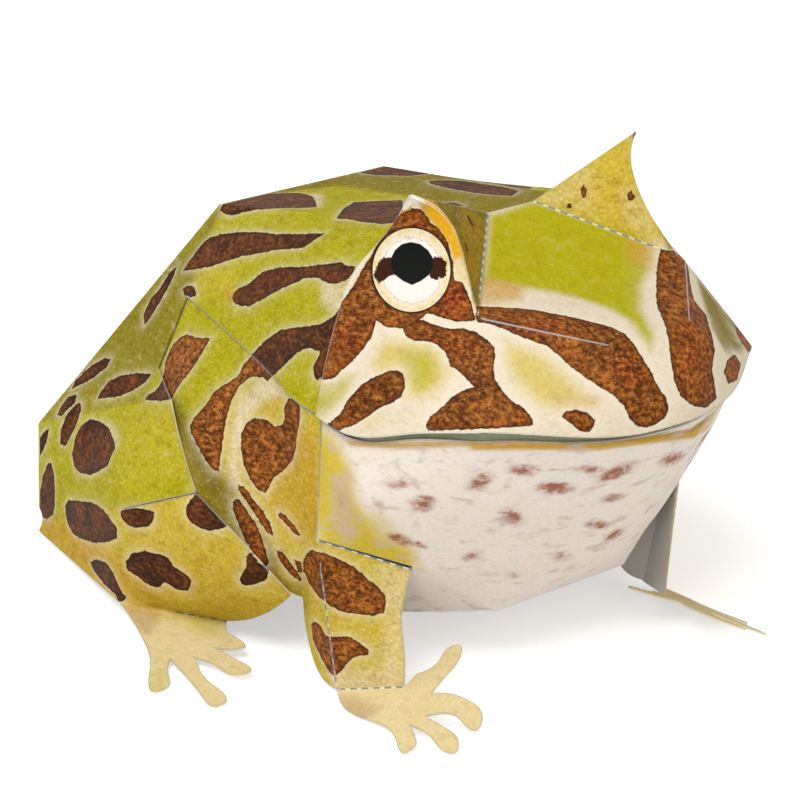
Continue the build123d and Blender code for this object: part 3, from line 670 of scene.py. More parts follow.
def skin(panels, spacing):
    """One welded skin from the panels: points, triangles, and each triangle's panel."""
    rim = Rim(spacing)
    for made in panels:
        sides = made["sides"]
        for side in sides:
            for part in side if isinstance(side, Chain) else [side]:
                rim.key(part)
        if "axes" in made:
            continue
        rim.tie(sides[0], sides[2])
        if len(sides) == 4:
            rim.tie(sides[1], sides[3])
    rim.settle()
    points, triangles, owners, start = [], [], [], 0
    for number, made in enumerate(panels):
        if "axes" in made:
            spots, cells = foot_mesh(made, rim)
        else:
            sides = [rim.points(side) for side in made["sides"]]
            if len(sides) == 3:
                sides.append(np.repeat(sides[0][:1], len(sides[1]), axis=0))
            grid = patch_grid(sides)
            spots, cells = grid.reshape(-1, 3), grid_triangles(*grid.shape[:2])
        a, b, c = spots[cells[:, 0]], spots[cells[:, 1]], spots[cells[:, 2]]
        lean = np.cross(b - a, c - a).sum(0)
        if np.dot(lean, spots.mean(0) - np.array(made["inside"])) < 0:
            cells = cells[:, ::-1]
        points.append(spots)
        triangles.append(cells + start)
        owners.append(np.full(len(cells), number))
        start += len(spots)
    points, welded = np.unique(np.round(np.vstack(points), 6) + 0.0, axis=0, return_inverse=True)
    triangles = welded.reshape(-1)[np.vstack(triangles)]
    owners = np.concatenate(owners)
    a, b, c = triangles.T
    whole = (a != b) & (b != c) & (c != a)
    return points, triangles[whole], owners[whole], rim


def edges_of(triangles):
    """The three directed edges of each triangle."""
    return np.concatenate([triangles[:, [0, 1]], triangles[:, [1, 2]], triangles[:, [2, 0]]])


def rim_edges(triangles):
    """Directed edges that only one triangle has."""
    edges = edges_of(triangles)
    size = triangles.max() + 1
    forward, back = edges[:, 0] * size + edges[:, 1], edges[:, 1] * size + edges[:, 0]
    return edges[~np.isin(forward, back)]


def normals_of(points, triangles):
    """Unit normals at the points: the crossed edges of the triangles around each, added."""
    a, b, c = (points[triangles[:, k]] for k in range(3))
    faces = np.cross(b - a, c - a)
    total = np.zeros_like(points)
    for k in range(3):
        for axis in range(3):
            total[:, axis] += np.bincount(triangles[:, k], faces[:, axis], len(points))
    return total / np.maximum(np.linalg.norm(total, axis=1), 1e-12)[:, None]


def nearest(points, line, width=6.0):
    """Distance of each point from a line of dense points, and how far along the line that is."""
    reach = along(line)
    marks = np.arange(0, reach[-1], 0.12)
    dense = np.stack([np.interp(marks, reach, line[:, axis]) for axis in range(3)], axis=1)
    low, high = dense.min(0) - width, dense.max(0) + width
    close = np.flatnonzero(((points > low) & (points < high)).all(1))
    gap, place = np.full(len(points), width), np.zeros(len(points))
    for part in np.array_split(close, max(1, len(close) // 3000 + 1)):
        square = ((points[part, None] - dense[None]) ** 2).sum(-1)
        best = square.argmin(1)
        gap[part] = np.minimum(np.sqrt(square[np.arange(len(part)), best]), width)
        place[part] = marks[best]
    return gap, place


def relax(points, triangles, lines, reach, rounds, keep):
    """Rounds off soft seams: points near the lines move half way to their neighbours' middle, again and
    again, by a share that falls to nothing at the reach. Kept points stay."""
    if not lines:
        return points
    gap = np.min([nearest(points, smooth_line(line), reach)[0] for line in lines], axis=0)
    share = np.clip(1 - gap / reach, 0, 1)
    share = share * share * (3 - 2 * share) * 0.5
    share[keep] = 0
    edges = np.unique(np.sort(edges_of(triangles), axis=1), axis=0)
    both = np.concatenate([edges, edges[:, ::-1]])
    number = np.bincount(both[:, 0], minlength=len(points))[:, None]
    for _ in range(rounds):
        middle = np.stack([np.bincount(both[:, 0], points[both[:, 1], axis], len(points))
                           for axis in range(3)], axis=1) / np.maximum(number, 1)
        points = points + share[:, None] * (middle - points)
    return points


def seen(points):
    """Picture points, and how they change with the place, for the camera of the picture."""
    rel = points - EYE_POINT
    x, y, w = rel @ ACROSS, rel @ UPWARD, -(rel @ BACKWARD)
    uv = np.stack([400 + FOCUS * x / w, 400 - FOCUS * y / w], 1)
    du = FOCUS * (ACROSS / w[:, None] + (x / w ** 2)[:, None] * BACKWARD)
    dv = -FOCUS * (UPWARD / w[:, None] + (y / w ** 2)[:, None] * BACKWARD)
    return uv, du, dv


def surface_scale(points, normals):
    """Picture places, and per point the matrix from a picture step to a step on the surface."""
    uv, du, dv = seen(points)
    helper = np.where(np.abs(normals[:, 2:3]) < 0.8, [[0.0, 0.0, 1.0]], [[0.0, 1.0, 0.0]])
    one = np.cross(helper, normals)
    one /= np.maximum(np.linalg.norm(one, axis=1), 1e-9)[:, None]
    two = np.cross(normals, one)
    a, b, c, d = (du * one).sum(1), (du * two).sum(1), (dv * one).sum(1), (dv * two).sum(1)
    size = a * d - b * c
    size = np.sign(size + 1e-12) * np.maximum(np.abs(size), 5.0)
    turn = np.stack([np.stack([d, -b], 1), np.stack([-c, a], 1)], 1) / size[:, None, None]
    return uv, turn


def outline_distance(uv, turn, outline, margin=34.0):
    """Signed distance in millimetres along the surface from a closed outline: below zero inside."""
    outline = np.reshape(outline, (-1, 2)).astype(float)
    low, high = outline.min(0) - margin, outline.max(0) + margin
    close = np.flatnonzero(((uv > low) & (uv < high)).all(1))
    result = np.full(len(uv), FAR)
    if not len(close):
        return result
    rel = outline[None] - uv[close, None]
    a = np.einsum("nij,nkj->nki", turn[close], rel)
    step = np.roll(a, -1, axis=1) - a
    t = np.clip(-(a * step).sum(-1) / np.maximum((step ** 2).sum(-1), 1e-12), 0, 1)
    gap = np.sqrt(((a + t[..., None] * step) ** 2).sum(-1)).min(1)
    gap[inside_outline(uv[close], outline)] *= -1
    result[close] = np.minimum(gap, FAR)
    return result


def rear_distance(points, spot):
    """Distance from an oval spot given by its centre and two half lengths."""
    centre, half_long, half_wide = (np.array(part) for part in spot)
    rel = points - centre
    x, y = rel @ half_long / np.dot(half_long, half_long), rel @ half_wide / np.dot(half_wide, half_wide)
    ratio = np.sqrt(x * x + y * y) + 1e-6
    return np.linalg.norm(rel, axis=1) * (1 - 1 / ratio)


def looked_up(piece, points, normals):
    """The print's fields where the camera sees these points, and the ground's colour over its base."""
    colours = bpy.context.scene.frog_colours
    uv, turn = surface_scale(points, normals)
    spot, ringed = np.full((2, len(points)), FAR)
    for name, outline in BLOTCHES.items():
        owner = name.split()[0]
        if owner == piece or (owner == "both" and piece in ("back", "flank")):
            gap = outline_distance(uv, turn, outline)
            spot = np.minimum(spot, gap)
            ringed = ringed if "brow" in name else np.minimum(ringed, gap)
    glow, reach = RINGS[piece]
    halo = glow * np.exp(-np.maximum(ringed, 0) / reach)
    tone, cover = np.zeros((len(points), 3)), np.zeros((len(points), 1))
    for owner, name, soft, strength, outline in WASHES:
        if owner != piece:
            continue
        gap = outline_distance(uv, turn, outline)
        share = np.clip(0.5 - gap / (2 * soft), 0, 1)
        share = (share * share * (3 - 2 * share) * strength)[:, None]
        tone = tone * (1 - share) + np.array(getattr(colours, name)[:]) * share
        cover = cover * (1 - share) + share
        if soft <= CRISP:
            halo *= 1 - share[:, 0]
    fields = {"spot": spot, "halo": halo, "tone": np.hstack([tone, cover])}
    if piece != "back":
        blush = np.zeros(len(points))
        for u, v, long, wide, angle, strength in BLUSHES if piece == "chin" else WARMTH:
            rel, turned = uv - [u, v], np.radians(angle)
            x = (rel[:, 0] * np.cos(turned) + rel[:, 1] * np.sin(turned)) / long
            y = (-rel[:, 0] * np.sin(turned) + rel[:, 1] * np.cos(turned)) / wide
            blush = np.maximum(blush, strength * np.exp(-(x * x + y * y) * 0.85))
        fields["blush"] = blush
    if piece == "head":
        u, v, wide, high = EYE
        angles = np.linspace(0, 2 * np.pi, 72, endpoint=False)
        ring = np.stack([u + wide * np.cos(angles), v + high * np.sin(angles)], 1)
        fields["ring"] = outline_distance(uv, turn, ring)
        fields["pupil"] = outline_distance(uv, turn, PUPIL)
        fields["bar"] = np.min([outline_distance(uv, turn, bar) for bar in BARS], axis=0)
    return fields


def printed_fields(piece, points, normals, views, ground):
    """The print's fields at the points: spot and eye distances, halo, blush and the ground's colour.

    A near panel is looked up on the frog's right side and a far one on its left, so both sides match.
    Panels that turn out of sight go over from their own place to the mirrored one.
    """
    colours = bpy.context.scene.frog_colours
    across = points[:, 0]
    swap = ((across > 0) & np.isin(views, ("near", "both"))) | ((across < 0) & (views == "far"))
    side = np.where(swap[:, None], [-1.0, 1.0, 1.0], [1.0, 1.0, 1.0])
    fields = looked_up(piece, points * side, normals * side)
    both = np.flatnonzero(views == "both")
    if len(both):
        own = looked_up(piece, points[both], normals[both])
        sight = EYE_POINT - points[both]
        facing = (normals[both] * sight).sum(1) / np.linalg.norm(sight, axis=1)
        share = np.clip((facing - 0.06) / 0.16, 0, 1)
        for name, values in own.items():
            weight = share[:, None] if values.ndim == 2 else share
            fields[name][both] = fields[name][both] * (1 - weight) + values * weight
    hidden = views == "none"
    for name, values in fields.items():
        values[hidden] = FAR if name in DISTANCES else 0.0
    if piece == "back":
        for rear in REAR_SPOTS:
            fields["spot"][hidden] = np.minimum(fields["spot"][hidden], rear_distance(points[hidden], rear))
        fields["halo"][hidden] = 0.38 * np.exp(-np.maximum(fields["spot"][hidden], 0) / 0.6)
    base = np.array([getattr(colours, name)[:] for name in ground], float)
    fields["calm"] = np.select([ground == "tan", ground == "cream"], [0.55, 0.5], 0.0)
    washed = fields["tone"]
    fields["tone"] = washed[:, :3] + base * (1 - washed[:, 3:])
    return fields


def slit_open(points, triangles, owners, line, side, ends, width):
    """Cuts the skin along a line: the panel at the side gets its own points, drawn back by the width."""
    gap, place = nearest(points, line, 0.2)
    length = along(line)[-1]
    on_line = (gap < 0.08) & (place > ends[0] * length - 1e-6) & (place < ends[1] * length + 1e-6)
    touched = np.zeros(len(points), bool)
    touched[np.unique(triangles[owners == side])] = True
    cut = np.flatnonzero(on_line & touched)
    fresh = np.arange(len(cut)) + len(points)
    change = np.arange(len(points))
    change[cut] = fresh
    rows = owners == side
    middle = points[triangles[rows]].reshape(-1, 3)
    square = ((middle[None] - points[cut][:, None]) ** 2).sum(-1)
    pull = middle[np.argsort(square, axis=1)[:, :40]].mean(1) - points[cut]
    along_line = (line[-1] - line[0]) / np.linalg.norm(line[-1] - line[0])
    pull -= (pull @ along_line)[:, None] * along_line
    pull /= np.maximum(np.linalg.norm(pull, axis=1), 1e-9)[:, None]
    triangles = triangles.copy()
    triangles[rows] = change[triangles[rows]]
    return np.vstack([points, points[cut] + pull * width]), triangles


def sheet_of_card(name, piece, panels, spacing, soft=(), hard=(), cuts=(), folds=(), rounds=40, reach=3.0,
                  unlined=()):
    """A sheet of printed card: the skin, the same skin one card deeper along its normals, and its edges.

    The printed face carries the print's fields, the distance from the cut edges and from the folds.
    """
    sizes = bpy.context.scene.frog_sizes
    points, triangles, owners, rim = skin(panels, spacing)
    for line, side, ends in cuts:
        points, triangles = slit_open(points, triangles, owners, smooth_line(line), side, ends, sizes.slit)
    edge = rim_edges(triangles)
    keep = np.zeros(len(points), bool)
    keep[np.unique(edge)] = True
    for line in hard:
        keep |= nearest(points, smooth_line(line), 0.5)[0] < 0.1
    points = relax(points, triangles, soft, reach, rounds, keep)
    normals = normals_of(points, triangles)
    views = np.full(len(points), "none", dtype="U6")
    ground = np.full(len(points), "cream", dtype="U6")
    for number, made in enumerate(panels):
        rows = np.unique(triangles[owners == number])
        views[rows] = made["view"].split()[0]
        ground[rows] = made["view"].split()[1]
    fields = printed_fields(piece, points, normals, views, ground)
    border = points[np.unique(edge)]
    for line in unlined:
        border = border[nearest(border, smooth_line(line), 1.0)[0] > 0.1]
    gap = [np.sqrt(((part[:, None] - border[None]) ** 2).sum(-1).min(1))
           for part in np.array_split(points, len(points) // 1500 + 1)]
    fields["edge"] = np.minimum(np.concatenate(gap), EDGE_REACH)
    fold, dash = np.full(len(points), FOLD_REACH), np.zeros(len(points))
    for line in folds:
        away, place = nearest(points, smooth_line(line), FOLD_REACH)
        dash = np.where(away < fold, place, dash)
        fold = np.minimum(fold, away)
    fields["fold"], fields["dash"] = fold, dash

    deeper = points - normals * sizes.card
    count = len(points)
    a, b = edge[:, 0], edge[:, 1]
    walls = np.concatenate([np.stack([b, a, a + count], 1), np.stack([b, a + count, b + count], 1)])
    cells = np.concatenate([triangles, triangles[:, ::-1] + count, walls])
    mesh = bpy.data.meshes.new(name)
    mesh.from_pydata(((np.vstack([points, deeper]) + SHIFT) / 1000).tolist(), [], cells.tolist())
    mesh.validate()
    order = np.arange(len(mesh.polygons))
    inner = (order >= len(triangles)) & (order < 2 * len(triangles))
    mesh.polygons.foreach_set("material_index", inner.astype(np.int32))
    mesh.polygons.foreach_set("use_smooth", np.ones(len(mesh.polygons), bool))
    mesh.set_sharp_from_angle(angle=np.radians(CREASE))
    for label, values in fields.items():
        values = np.concatenate([values, values])
        if values.ndim == 2:
            layer = mesh.attributes.new(label, "FLOAT_COLOR", "POINT")
            layer.data.foreach_set("color", np.hstack([values, np.ones((len(values), 1))]).ravel())
        else:
            layer = mesh.attributes.new(label, "FLOAT", "POINT")
            layer.data.foreach_set("value", values.astype(np.float32))
    mesh.update()
    sheet = bpy.data.objects.new(name, mesh)
    bpy.context.scene.collection.objects.link(sheet)
    mesh.materials.append(printed_card(piece))
    mesh.materials.append(bare_card())
    return sheet


def settle(sheet, node):
    """The sheet rides with the frog and stands for its CAD node, which is hidden."""
    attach(sheet, "root")
    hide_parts(node)


class Nodes:
    """Short calls for the nodes of one material."""

    def __init__(self, name):
        self.material = bpy.data.materials.new(name)
        self.material.use_nodes = True
        self.tree = self.material.node_tree
        self.shader = self.tree.nodes["Principled BSDF"]
        place = self.tree.nodes.new("ShaderNodeTexCoord").outputs["Object"]
        scale = self.tree.nodes.new("ShaderNodeMapping")
        scale.inputs["Scale"].default_value = (1000, 1000, 1000)
        self.tree.links.new(place, scale.inputs["Vector"])
        self.mm = scale.outputs["Vector"]

    def put(self, value, socket):
        """A link or a plain value into a socket."""
        if isinstance(value, bpy.types.NodeSocket):
            self.tree.links.new(value, socket)
        elif isinstance(value, (tuple, list)) and len(value) == 3 and socket.type == "RGBA":
            socket.default_value = (*value, 1)
        else:
            socket.default_value = value

    def field(self, name, colour=False):
        """A field of the print, as kept at the mesh's points."""
        node = self.tree.nodes.new("ShaderNodeAttribute")
        node.attribute_name = name
        return node.outputs["Color" if colour else "Fac"]

    def noise(self, scale, detail=2.0, rough=0.5, stretch=None, seed=0.0):
        """Noise whose features are about one over the scale, in millimetres."""
        node = self.tree.nodes.new("ShaderNodeTexNoise")
        node.inputs["Scale"].default_value = scale
        node.inputs["Detail"].default_value = detail
        node.inputs["Roughness"].default_value = rough
        mapping = self.tree.nodes.new("ShaderNodeMapping")
        mapping.inputs["Location"].default_value = (seed, seed * 1.7, seed * 0.6)
        if stretch:
            mapping.inputs["Scale"].default_value = stretch
        self.tree.links.new(self.mm, mapping.inputs["Vector"])
        self.tree.links.new(mapping.outputs["Vector"], node.inputs["Vector"])
        return node.outputs["Fac"]

    def cells(self, scale, spread):
        """Distance from the nearest of scattered points, about one over the scale apart in millimetres."""
        node = self.tree.nodes.new("ShaderNodeTexVoronoi")
        node.inputs["Scale"].default_value = scale
        node.inputs["Randomness"].default_value = spread
        self.tree.links.new(self.mm, node.inputs["Vector"])
        return node.outputs["Distance"]

    def math(self, kind, a, b=0.0, c=0.0):
        """A sum, product or other operation on two or three values."""
        node = self.tree.nodes.new("ShaderNodeMath")
        node.operation = kind
        for value, socket in zip((a, b, c), node.inputs):
            self.put(value, socket)
        return node.outputs["Value"]

    def ramp(self, value, low, high, to_low=0.0, to_high=1.0):
        """A smooth step from low to high."""
        node = self.tree.nodes.new("ShaderNodeMapRange")
        node.interpolation_type = "SMOOTHSTEP"
        for number, part in enumerate((value, low, high, to_low, to_high)):
            self.put(part, node.inputs[number])
        return node.outputs["Result"]

    def mix(self, share, a, b, kind="MIX"):
        """The colour that goes from a to b by the share."""
        node = self.tree.nodes.new("ShaderNodeMix")
        node.data_type = "RGBA"
        node.blend_type = kind
        self.put(share, node.inputs[0])
        self.put(a, node.inputs[6])
        self.put(b, node.inputs[7])
        return node.outputs[2]

    def finish(self, colour, rough, bump, height):
        """The material with its colour, roughness and relief."""
        self.tree.links.new(colour, self.shader.inputs["Base Color"])
        self.put(rough, self.shader.inputs["Roughness"])
        node = self.tree.nodes.new("ShaderNodeBump")
        node.inputs["Strength"].default_value = bump
        node.inputs["Distance"].default_value = RELIEF
        self.tree.links.new(height, node.inputs["Height"])
        self.tree.links.new(node.outputs["Normal"], self.shader.inputs["Normal"])
        return self.material


def bare_card():
    """White uncoated card, as on the back of the sheets and at their cut edges."""
    made = bpy.data.materials.get("bare_card")
    if made:
        return made
    nodes = Nodes("bare_card")
    colours = bpy.context.scene.frog_colours
    fibre = nodes.noise(3.5, 4.0, 0.6)
    cloud = nodes.noise(0.15, 2.0, seed=5.0)
    colour = nodes.mix(nodes.ramp(fibre, 0.35, 0.75, 0.0, 0.07), tuple(colours.card), (0.5, 0.46, 0.38))
    colour = nodes.mix(nodes.ramp(cloud, 0.3, 0.8, 0.0, 0.12), colour, (0.62, 0.6, 0.55))
    return nodes.finish(colour, 0.75, 0.35, fibre)


def printed_card(piece):
    """Card printed with a frog's skin: pebbled ground, pale rings, dark-rimmed brown spots, and lines."""
    nodes = Nodes(f"printed_{piece}")
    colours = bpy.context.scene.frog_colours
    sizes = bpy.context.scene.frog_sizes
    ink_of = {name: tuple(getattr(colours, name)) for name in FrogColours.__annotations__}
    skin_share = 0.25 if piece == "chin" else 1.0

    def both(one, other):
        """Two shares multiplied."""
        return nodes.math("MULTIPLY", one, other)

    def inked(base, name, value, low, high, share=1.0):
        """The base with an ink over it by a share, which grows as the value goes from low to high."""
        return nodes.mix(nodes.ramp(value, low, high, 0.0, share), base, ink_of[name])

    def shaded(base, shade, value, low, high, share):
        """The base multiplied by a shade in the same way."""
        return nodes.mix(nodes.ramp(value, low, high, 0.0, share * skin_share), base,
                         nodes.mix(1.0, base, shade, "MULTIPLY"))

    fine = nodes.noise(3.2, 3.0, 0.6, seed=9.0)
    middle = nodes.noise(0.75, 3.0, 0.6, stretch=(1.0, 0.6, 1.3), seed=3.0)
    patch = nodes.noise(0.2, 3.0, 0.55, seed=21.0)
    ragged = nodes.noise(0.95, 3.0, 0.6, seed=31.0)
    tooth = nodes.noise(2.6, 2.0, 0.5, seed=41.0)
    grain = nodes.noise(1.3, 4.0, 0.65, stretch=(1.0, 0.6, 1.2), seed=51.0)
    pebble = nodes.cells(1.6, 1.0)
    grit = nodes.cells(2.6, 1.0)

    def rough_edge(field, wide, thin):
        """The field's distance with an uneven edge."""
        uneven = nodes.math("MULTIPLY_ADD", ragged, wide, -wide / 2)
        uneven = nodes.math("MULTIPLY_ADD", tooth, thin, uneven)
        return nodes.math("ADD", nodes.field(field), nodes.math("SUBTRACT", uneven, thin / 2))

    plain = nodes.field("tone", colour=True)
    ground = shaded(plain, (0.86, 0.76, 0.4), patch, 0.35, 0.7, 0.4)
    ground = shaded(ground, (0.62, 0.56, 0.34), middle, 0.5, 0.28, 0.6)
    ground = inked(ground, "cream", middle, 0.56, 0.78, 0.32 * skin_share)
    ground = shaded(ground, (0.6, 0.56, 0.3), pebble, 0.3, 0.72, 0.34)
    light = both(nodes.ramp(pebble, 0.34, 0.08), nodes.ramp(fine, 0.42, 0.62))
    ground = nodes.mix(both(light, 0.3 * skin_share), ground, ink_of["cream"])
    ground = shaded(ground, (0.62, 0.58, 0.36), grit, 0.35, 0.7, 0.22)
    ground = nodes.mix(nodes.field("calm"), ground, plain)
    halo = both(nodes.field("halo"), nodes.ramp(ragged, 0.28, 0.58, 0.45, 1.0))
    ground = nodes.mix(halo, ground, ink_of["cream"])
    if piece == "chin":
        soft = nodes.math("MULTIPLY_ADD", middle, 2.6, -1.3)
        soft = nodes.math("ADD", nodes.field("blush"), both(soft, nodes.field("blush")))
        ground = inked(ground, "rust", soft, 0.1, 0.85, 0.92)
        smudge = nodes.noise(0.32, 3.0, 0.6, stretch=(0.6, 1.0, 1.6), seed=71.0)
        ground = inked(ground, "pink", smudge, 0.54, 0.7, 0.6)

    spot = rough_edge("spot", 0.55, 0.3)
    inside = nodes.ramp(spot, 0.09, -0.09)
    lift, top = SPOT_LIFT[piece]
    speckle = 0.15 + 0.7 * lift
    deep = nodes.mix(nodes.ramp(patch, 0.3, 0.7, lift, top), ink_of["brown"], ink_of["bark"])
    if piece in ("head", "flank"):
        deep = nodes.mix(both(nodes.field("blush"), 0.75), deep, ink_of["red"])
    deep = inked(deep, "char", grain, 0.52, 0.36, 0.7)
    deep = inked(deep, "char", pebble, 0.25, 0.7, 0.5)
    bright = both(nodes.ramp(grain, 0.5, 0.66), nodes.ramp(spot, -0.3, -1.0))
    deep = nodes.mix(both(bright, speckle), deep, ink_of["ember"])
    flecks = both(nodes.ramp(grit, 0.3, 0.12), nodes.ramp(middle, 0.5, 0.64))
    flecks = both(flecks, nodes.ramp(spot, -0.5, -1.1))
    deep = nodes.mix(both(flecks, speckle), deep, ink_of["glint"])
    deep = inked(deep, "char", spot, -0.45, -0.04, 0.75)
    colour = nodes.mix(inside, ground, deep)

    if piece == "head":
        ring = nodes.field("ring")
        iris = inked(ink_of["chin"], "tan", ring, -1.9, -0.5, 0.6)
        warm = both(nodes.ramp(ring, -1.5, -0.3), nodes.ramp(ragged, 0.4, 0.62, 0.1, 0.6))
        iris = nodes.mix(warm, iris, ink_of["straw"])
        iris = inked(iris, "tan", fine, 0.5, 0.3, 0.35)
        vein = nodes.math("MULTIPLY_ADD", ragged, 1.6, -0.8)
        vein = nodes.math("ADD", nodes.math("ADD", ring, 1.35), vein)
        iris = inked(iris, "char", nodes.math("ABSOLUTE", vein), 0.12, 0.02, 0.35)
        iris = inked(iris, "cream", ring, -0.26, -0.02, 0.6)
        bar = nodes.ramp(rough_edge("bar", 1.2, 0.6), 0.1, -0.15)
        iris = nodes.mix(bar, iris, nodes.mix(0.65, ink_of["char"], ink_of["brown"]))
        iris = inked(iris, "pupil", nodes.field("pupil"), 0.06, -0.06)
        colour = inked(colour, "char", ring, 0.7, 0.05, 0.85)
        colour = nodes.mix(nodes.ramp(ring, 0.05, -0.05), colour, iris)

    edge, cut_line, bare = nodes.field("edge"), *((0.4, 0.6) if piece == "head" else (0.6, 0.3))
    line = both(nodes.ramp(edge, 0.04, 0.09), nodes.ramp(edge, sizes.line + 0.07, sizes.line))
    colour = nodes.mix(both(line, cut_line), colour, ink_of["cut"])
    colour = inked(colour, "card", edge, 0.05, 0.01, bare)
    fold = nodes.ramp(nodes.field("fold"), 0.22, 0.14)
    beat = nodes.math("FRACT", nodes.math("DIVIDE", nodes.field("dash"), sizes.dash))
    dashes = nodes.ramp(nodes.math("ABSOLUTE", nodes.math("SUBTRACT", beat, 0.5)), 0.3, 0.26)
    scored = nodes.mix(dashes, nodes.mix(0.45, colour, ink_of["card"]), ink_of["cut"])
    colour = nodes.mix(both(fold, 0.85), colour, scored)
    gloss = nodes.math("MULTIPLY_ADD", inside, -0.1, 0.7)
    height = nodes.math("ADD", fine, both(inside, 0.25))
    nodes.shader.inputs["Specular IOR Level"].default_value = 0.08
    return nodes.finish(colour, gloss, 0.3, height)


nose_side = Chain([[brow_front, slit_end], [slit_end, snout_side, lip_nose]])
nose_back = Chain([part[::-1] for part in nose_side[::-1]])


def head_side(tip):
    """The head sheet's panels of the right side, with the brow's tip."""
    brow_top = [tip, *brow_rim, brow_front]
    return [
        panel("near cream", [tip, *cheek_top, cheek_back], [cheek_back, brow_front], brow_top[::-1]),
        panel("near cream", [cheek_back, cheek_low, mouth_corner], [mouth_corner, *lip_rear, lip_side],
              [lip_side, brow_front], [brow_front, cheek_back]),
        panel("near cream", [lip_side, *lip_fore, lip_nose], nose_back, [brow_front, lip_side]),
        panel("near ochre", brow_top, [brow_front, brow_back], [brow_back, tip],
              inside=(-22.0, -24.0, 55.0))]


def head_panels():
    """The head sheet's panels: two sides, then the forehead and the snout."""
    right = head_side(moved(horn_tip, (0.3, 0.0, -0.8)))
    left = mirror(head_side(moved(horn_tip, (-1.4, 1.8, -0.08))))
    left[1]["view"] = left[2]["view"] = "both cream"
    # Painted light: the far brow, which shows brighter, gets paler straw ground than the near brow's ochre.
    left[3]["view"] = "far straw"
    middle = [
        flat("direct cream", brow_back, brow_front, flip(brow_front), flip(brow_back)),
        panel("direct cream", [flip(brow_front), brow_front], nose_side,
              [lip_nose, lip_middle, flip(lip_nose)], Chain(on_side(flip, *nose_back)))]
    return right + left + middle


def shank_bend(shift):
    """The line round the shank, from its tip to the moved ankle."""
    middle = [moved(point, shift, share) for point, share in zip(calf, (0.3, 0.6, 0.85))]
    return [shank_tip, *middle, moved(ankle_back, shift)]


def haunch(shift):
    """The back sheet's panels of the right side and its hind leg; shift moves the ankle and foot."""
    bend = shank_bend(shift)
    rear_ankle, fore_ankle = bend[-1], moved(ankle_front, shift)
    return [
        panel("near lime", [back_front, rump_top], [rump_top, rump_side], [rump_side, *seam, seam_end],
              [seam_end, *arch, back_front]),
        panel("near leaf", [tail_side, rump_top], chain(rump_top, rump_side, rump_low, hip),
              [hip, tail_side]),
        flat("near lime", rump_low, thigh_front, hip),
        panel("near lime", [hip, thigh_front], [thigh_front, thigh_edge, knee], [knee, knee_slit],
              [knee_slit, thigh_bulge, hip]),
        panel("near lime", [hip, thigh_bulge, knee_slit], [knee_slit, heel_back], [heel_back, tail_side],
              [tail_side, hip]),
        panel("near straw", [knee_slit, knee], [knee, shank_front, shank_tip], bend,
              [rear_ankle, knee_slit]),
        panel("near straw", [shank_tip, moved(shank_sole, shift, 0.4), fore_ankle],
              [fore_ankle, rear_ankle], bend[::-1]),
        flat("near straw", heel_back, knee_slit, rear_ankle),
        foot("near tan", rear_ankle, fore_ankle, moved(hind_toe_low, shift), hind_toes)]


def back_panels():
    """The back sheet's panels: both haunches, the top, the neck and the rear."""
    right, left = haunch(AT_HOME), mirror(haunch(left_ankle_shift))
    middle = [
        flat("direct lime", rump_top, flip(rump_top), flip(back_front), back_front),
        flat("direct lime", back_front, flip(back_front), flip(back_neck), back_neck),
        flat("none leaf", rump_top, tail_side, flip(tail_side), flip(rump_top)),
        flat("none straw", tail_side, heel_back, flip(heel_back), flip(tail_side))]
    return right + left + middle


def chin_panels():
    """The chin sheet's panels: bands from the lower lip to the throat, and the belly."""
    lip_row = [mouth_corner, *lip_rear, lip_side, *lip_fore, lip_nose, lip_middle]
    corner, *lip = [inwards(point, LIP_INSET, -LIP_GAP - droop) for point, droop in zip(lip_row, droops)]
    corner = (-35.45, -17.45, 43.95)
    base = [inwards(point, 0.42, -0.6) for point in lip]
    top = [inwards(point, 0.85, rise) for point, rise in zip(lip, (0.5, 1.4, 2.0, *[2.2] * 5))]
    right = [
        panel("near chin", [corner, *lip[:3]], [lip[2], chin_waist[-1]], chin_waist[::-1],
              [chin_edge, corner]),
        panel("near chin", lip[2:7], [lip[6], chin_front[-1]], chin_front[::-1], [chin_front[0], lip[2]]),
        panel("near chin", chin_waist, [chin_waist[-1], chin_inner], [chin_inner, chin_outer],
              [chin_outer, chin_edge]),
        panel("near chin", chin_front, [chin_front[-1], throat[-1]], throat[::-1],
              [chin_inner, chin_front[0]]),
        panel("near chin", throat, [throat[-1], chin_keel], [chin_keel, chin_inner]),
        flat("none chin", chin_inner, chin_keel, belly_front),
        # Tabs inside the mouth, printed grey-green as painted shade for the dark behind the lips
        panel("none mouth", base[:3], [base[2], top[2]], top[2::-1], [top[0], base[0]]),
        panel("none mouth", base[2:7], [base[6], top[6]], top[6:1:-1], [top[2], base[2]])]
    left = mirror(right)
    for made in left[:5]:
        made["view"] = "both chin"
    rows = [[*row, flip(row[0])] for row in ([lip[6], lip[7]], chin_middle, throat_middle)]
    rows.append([chin_keel, flip(chin_keel)])
    centre = [panel("direct chin", above, [above[-1], below[-1]], below[::-1], [below[0], above[0]])
              for above, below in zip(rows, rows[1:])]
    # The middle tab inside the mouth, in the same painted-shade grey-green
    centre.append(panel("none mouth", [base[6], base[7], flip(base[6])], [flip(base[6]), flip(top[6])],
                        [flip(top[6]), top[7], top[6]], [top[6], base[6]]))
    under = (0.0, 10.0, 30.0)
    belly = [flat("none chin", chin_keel, flip(chin_keel), flip(belly_front), belly_front, inside=under),
             flat("none chin", belly_front, flip(belly_front), flip(belly_rear), belly_rear, inside=under)]
    return right + left + centre + belly


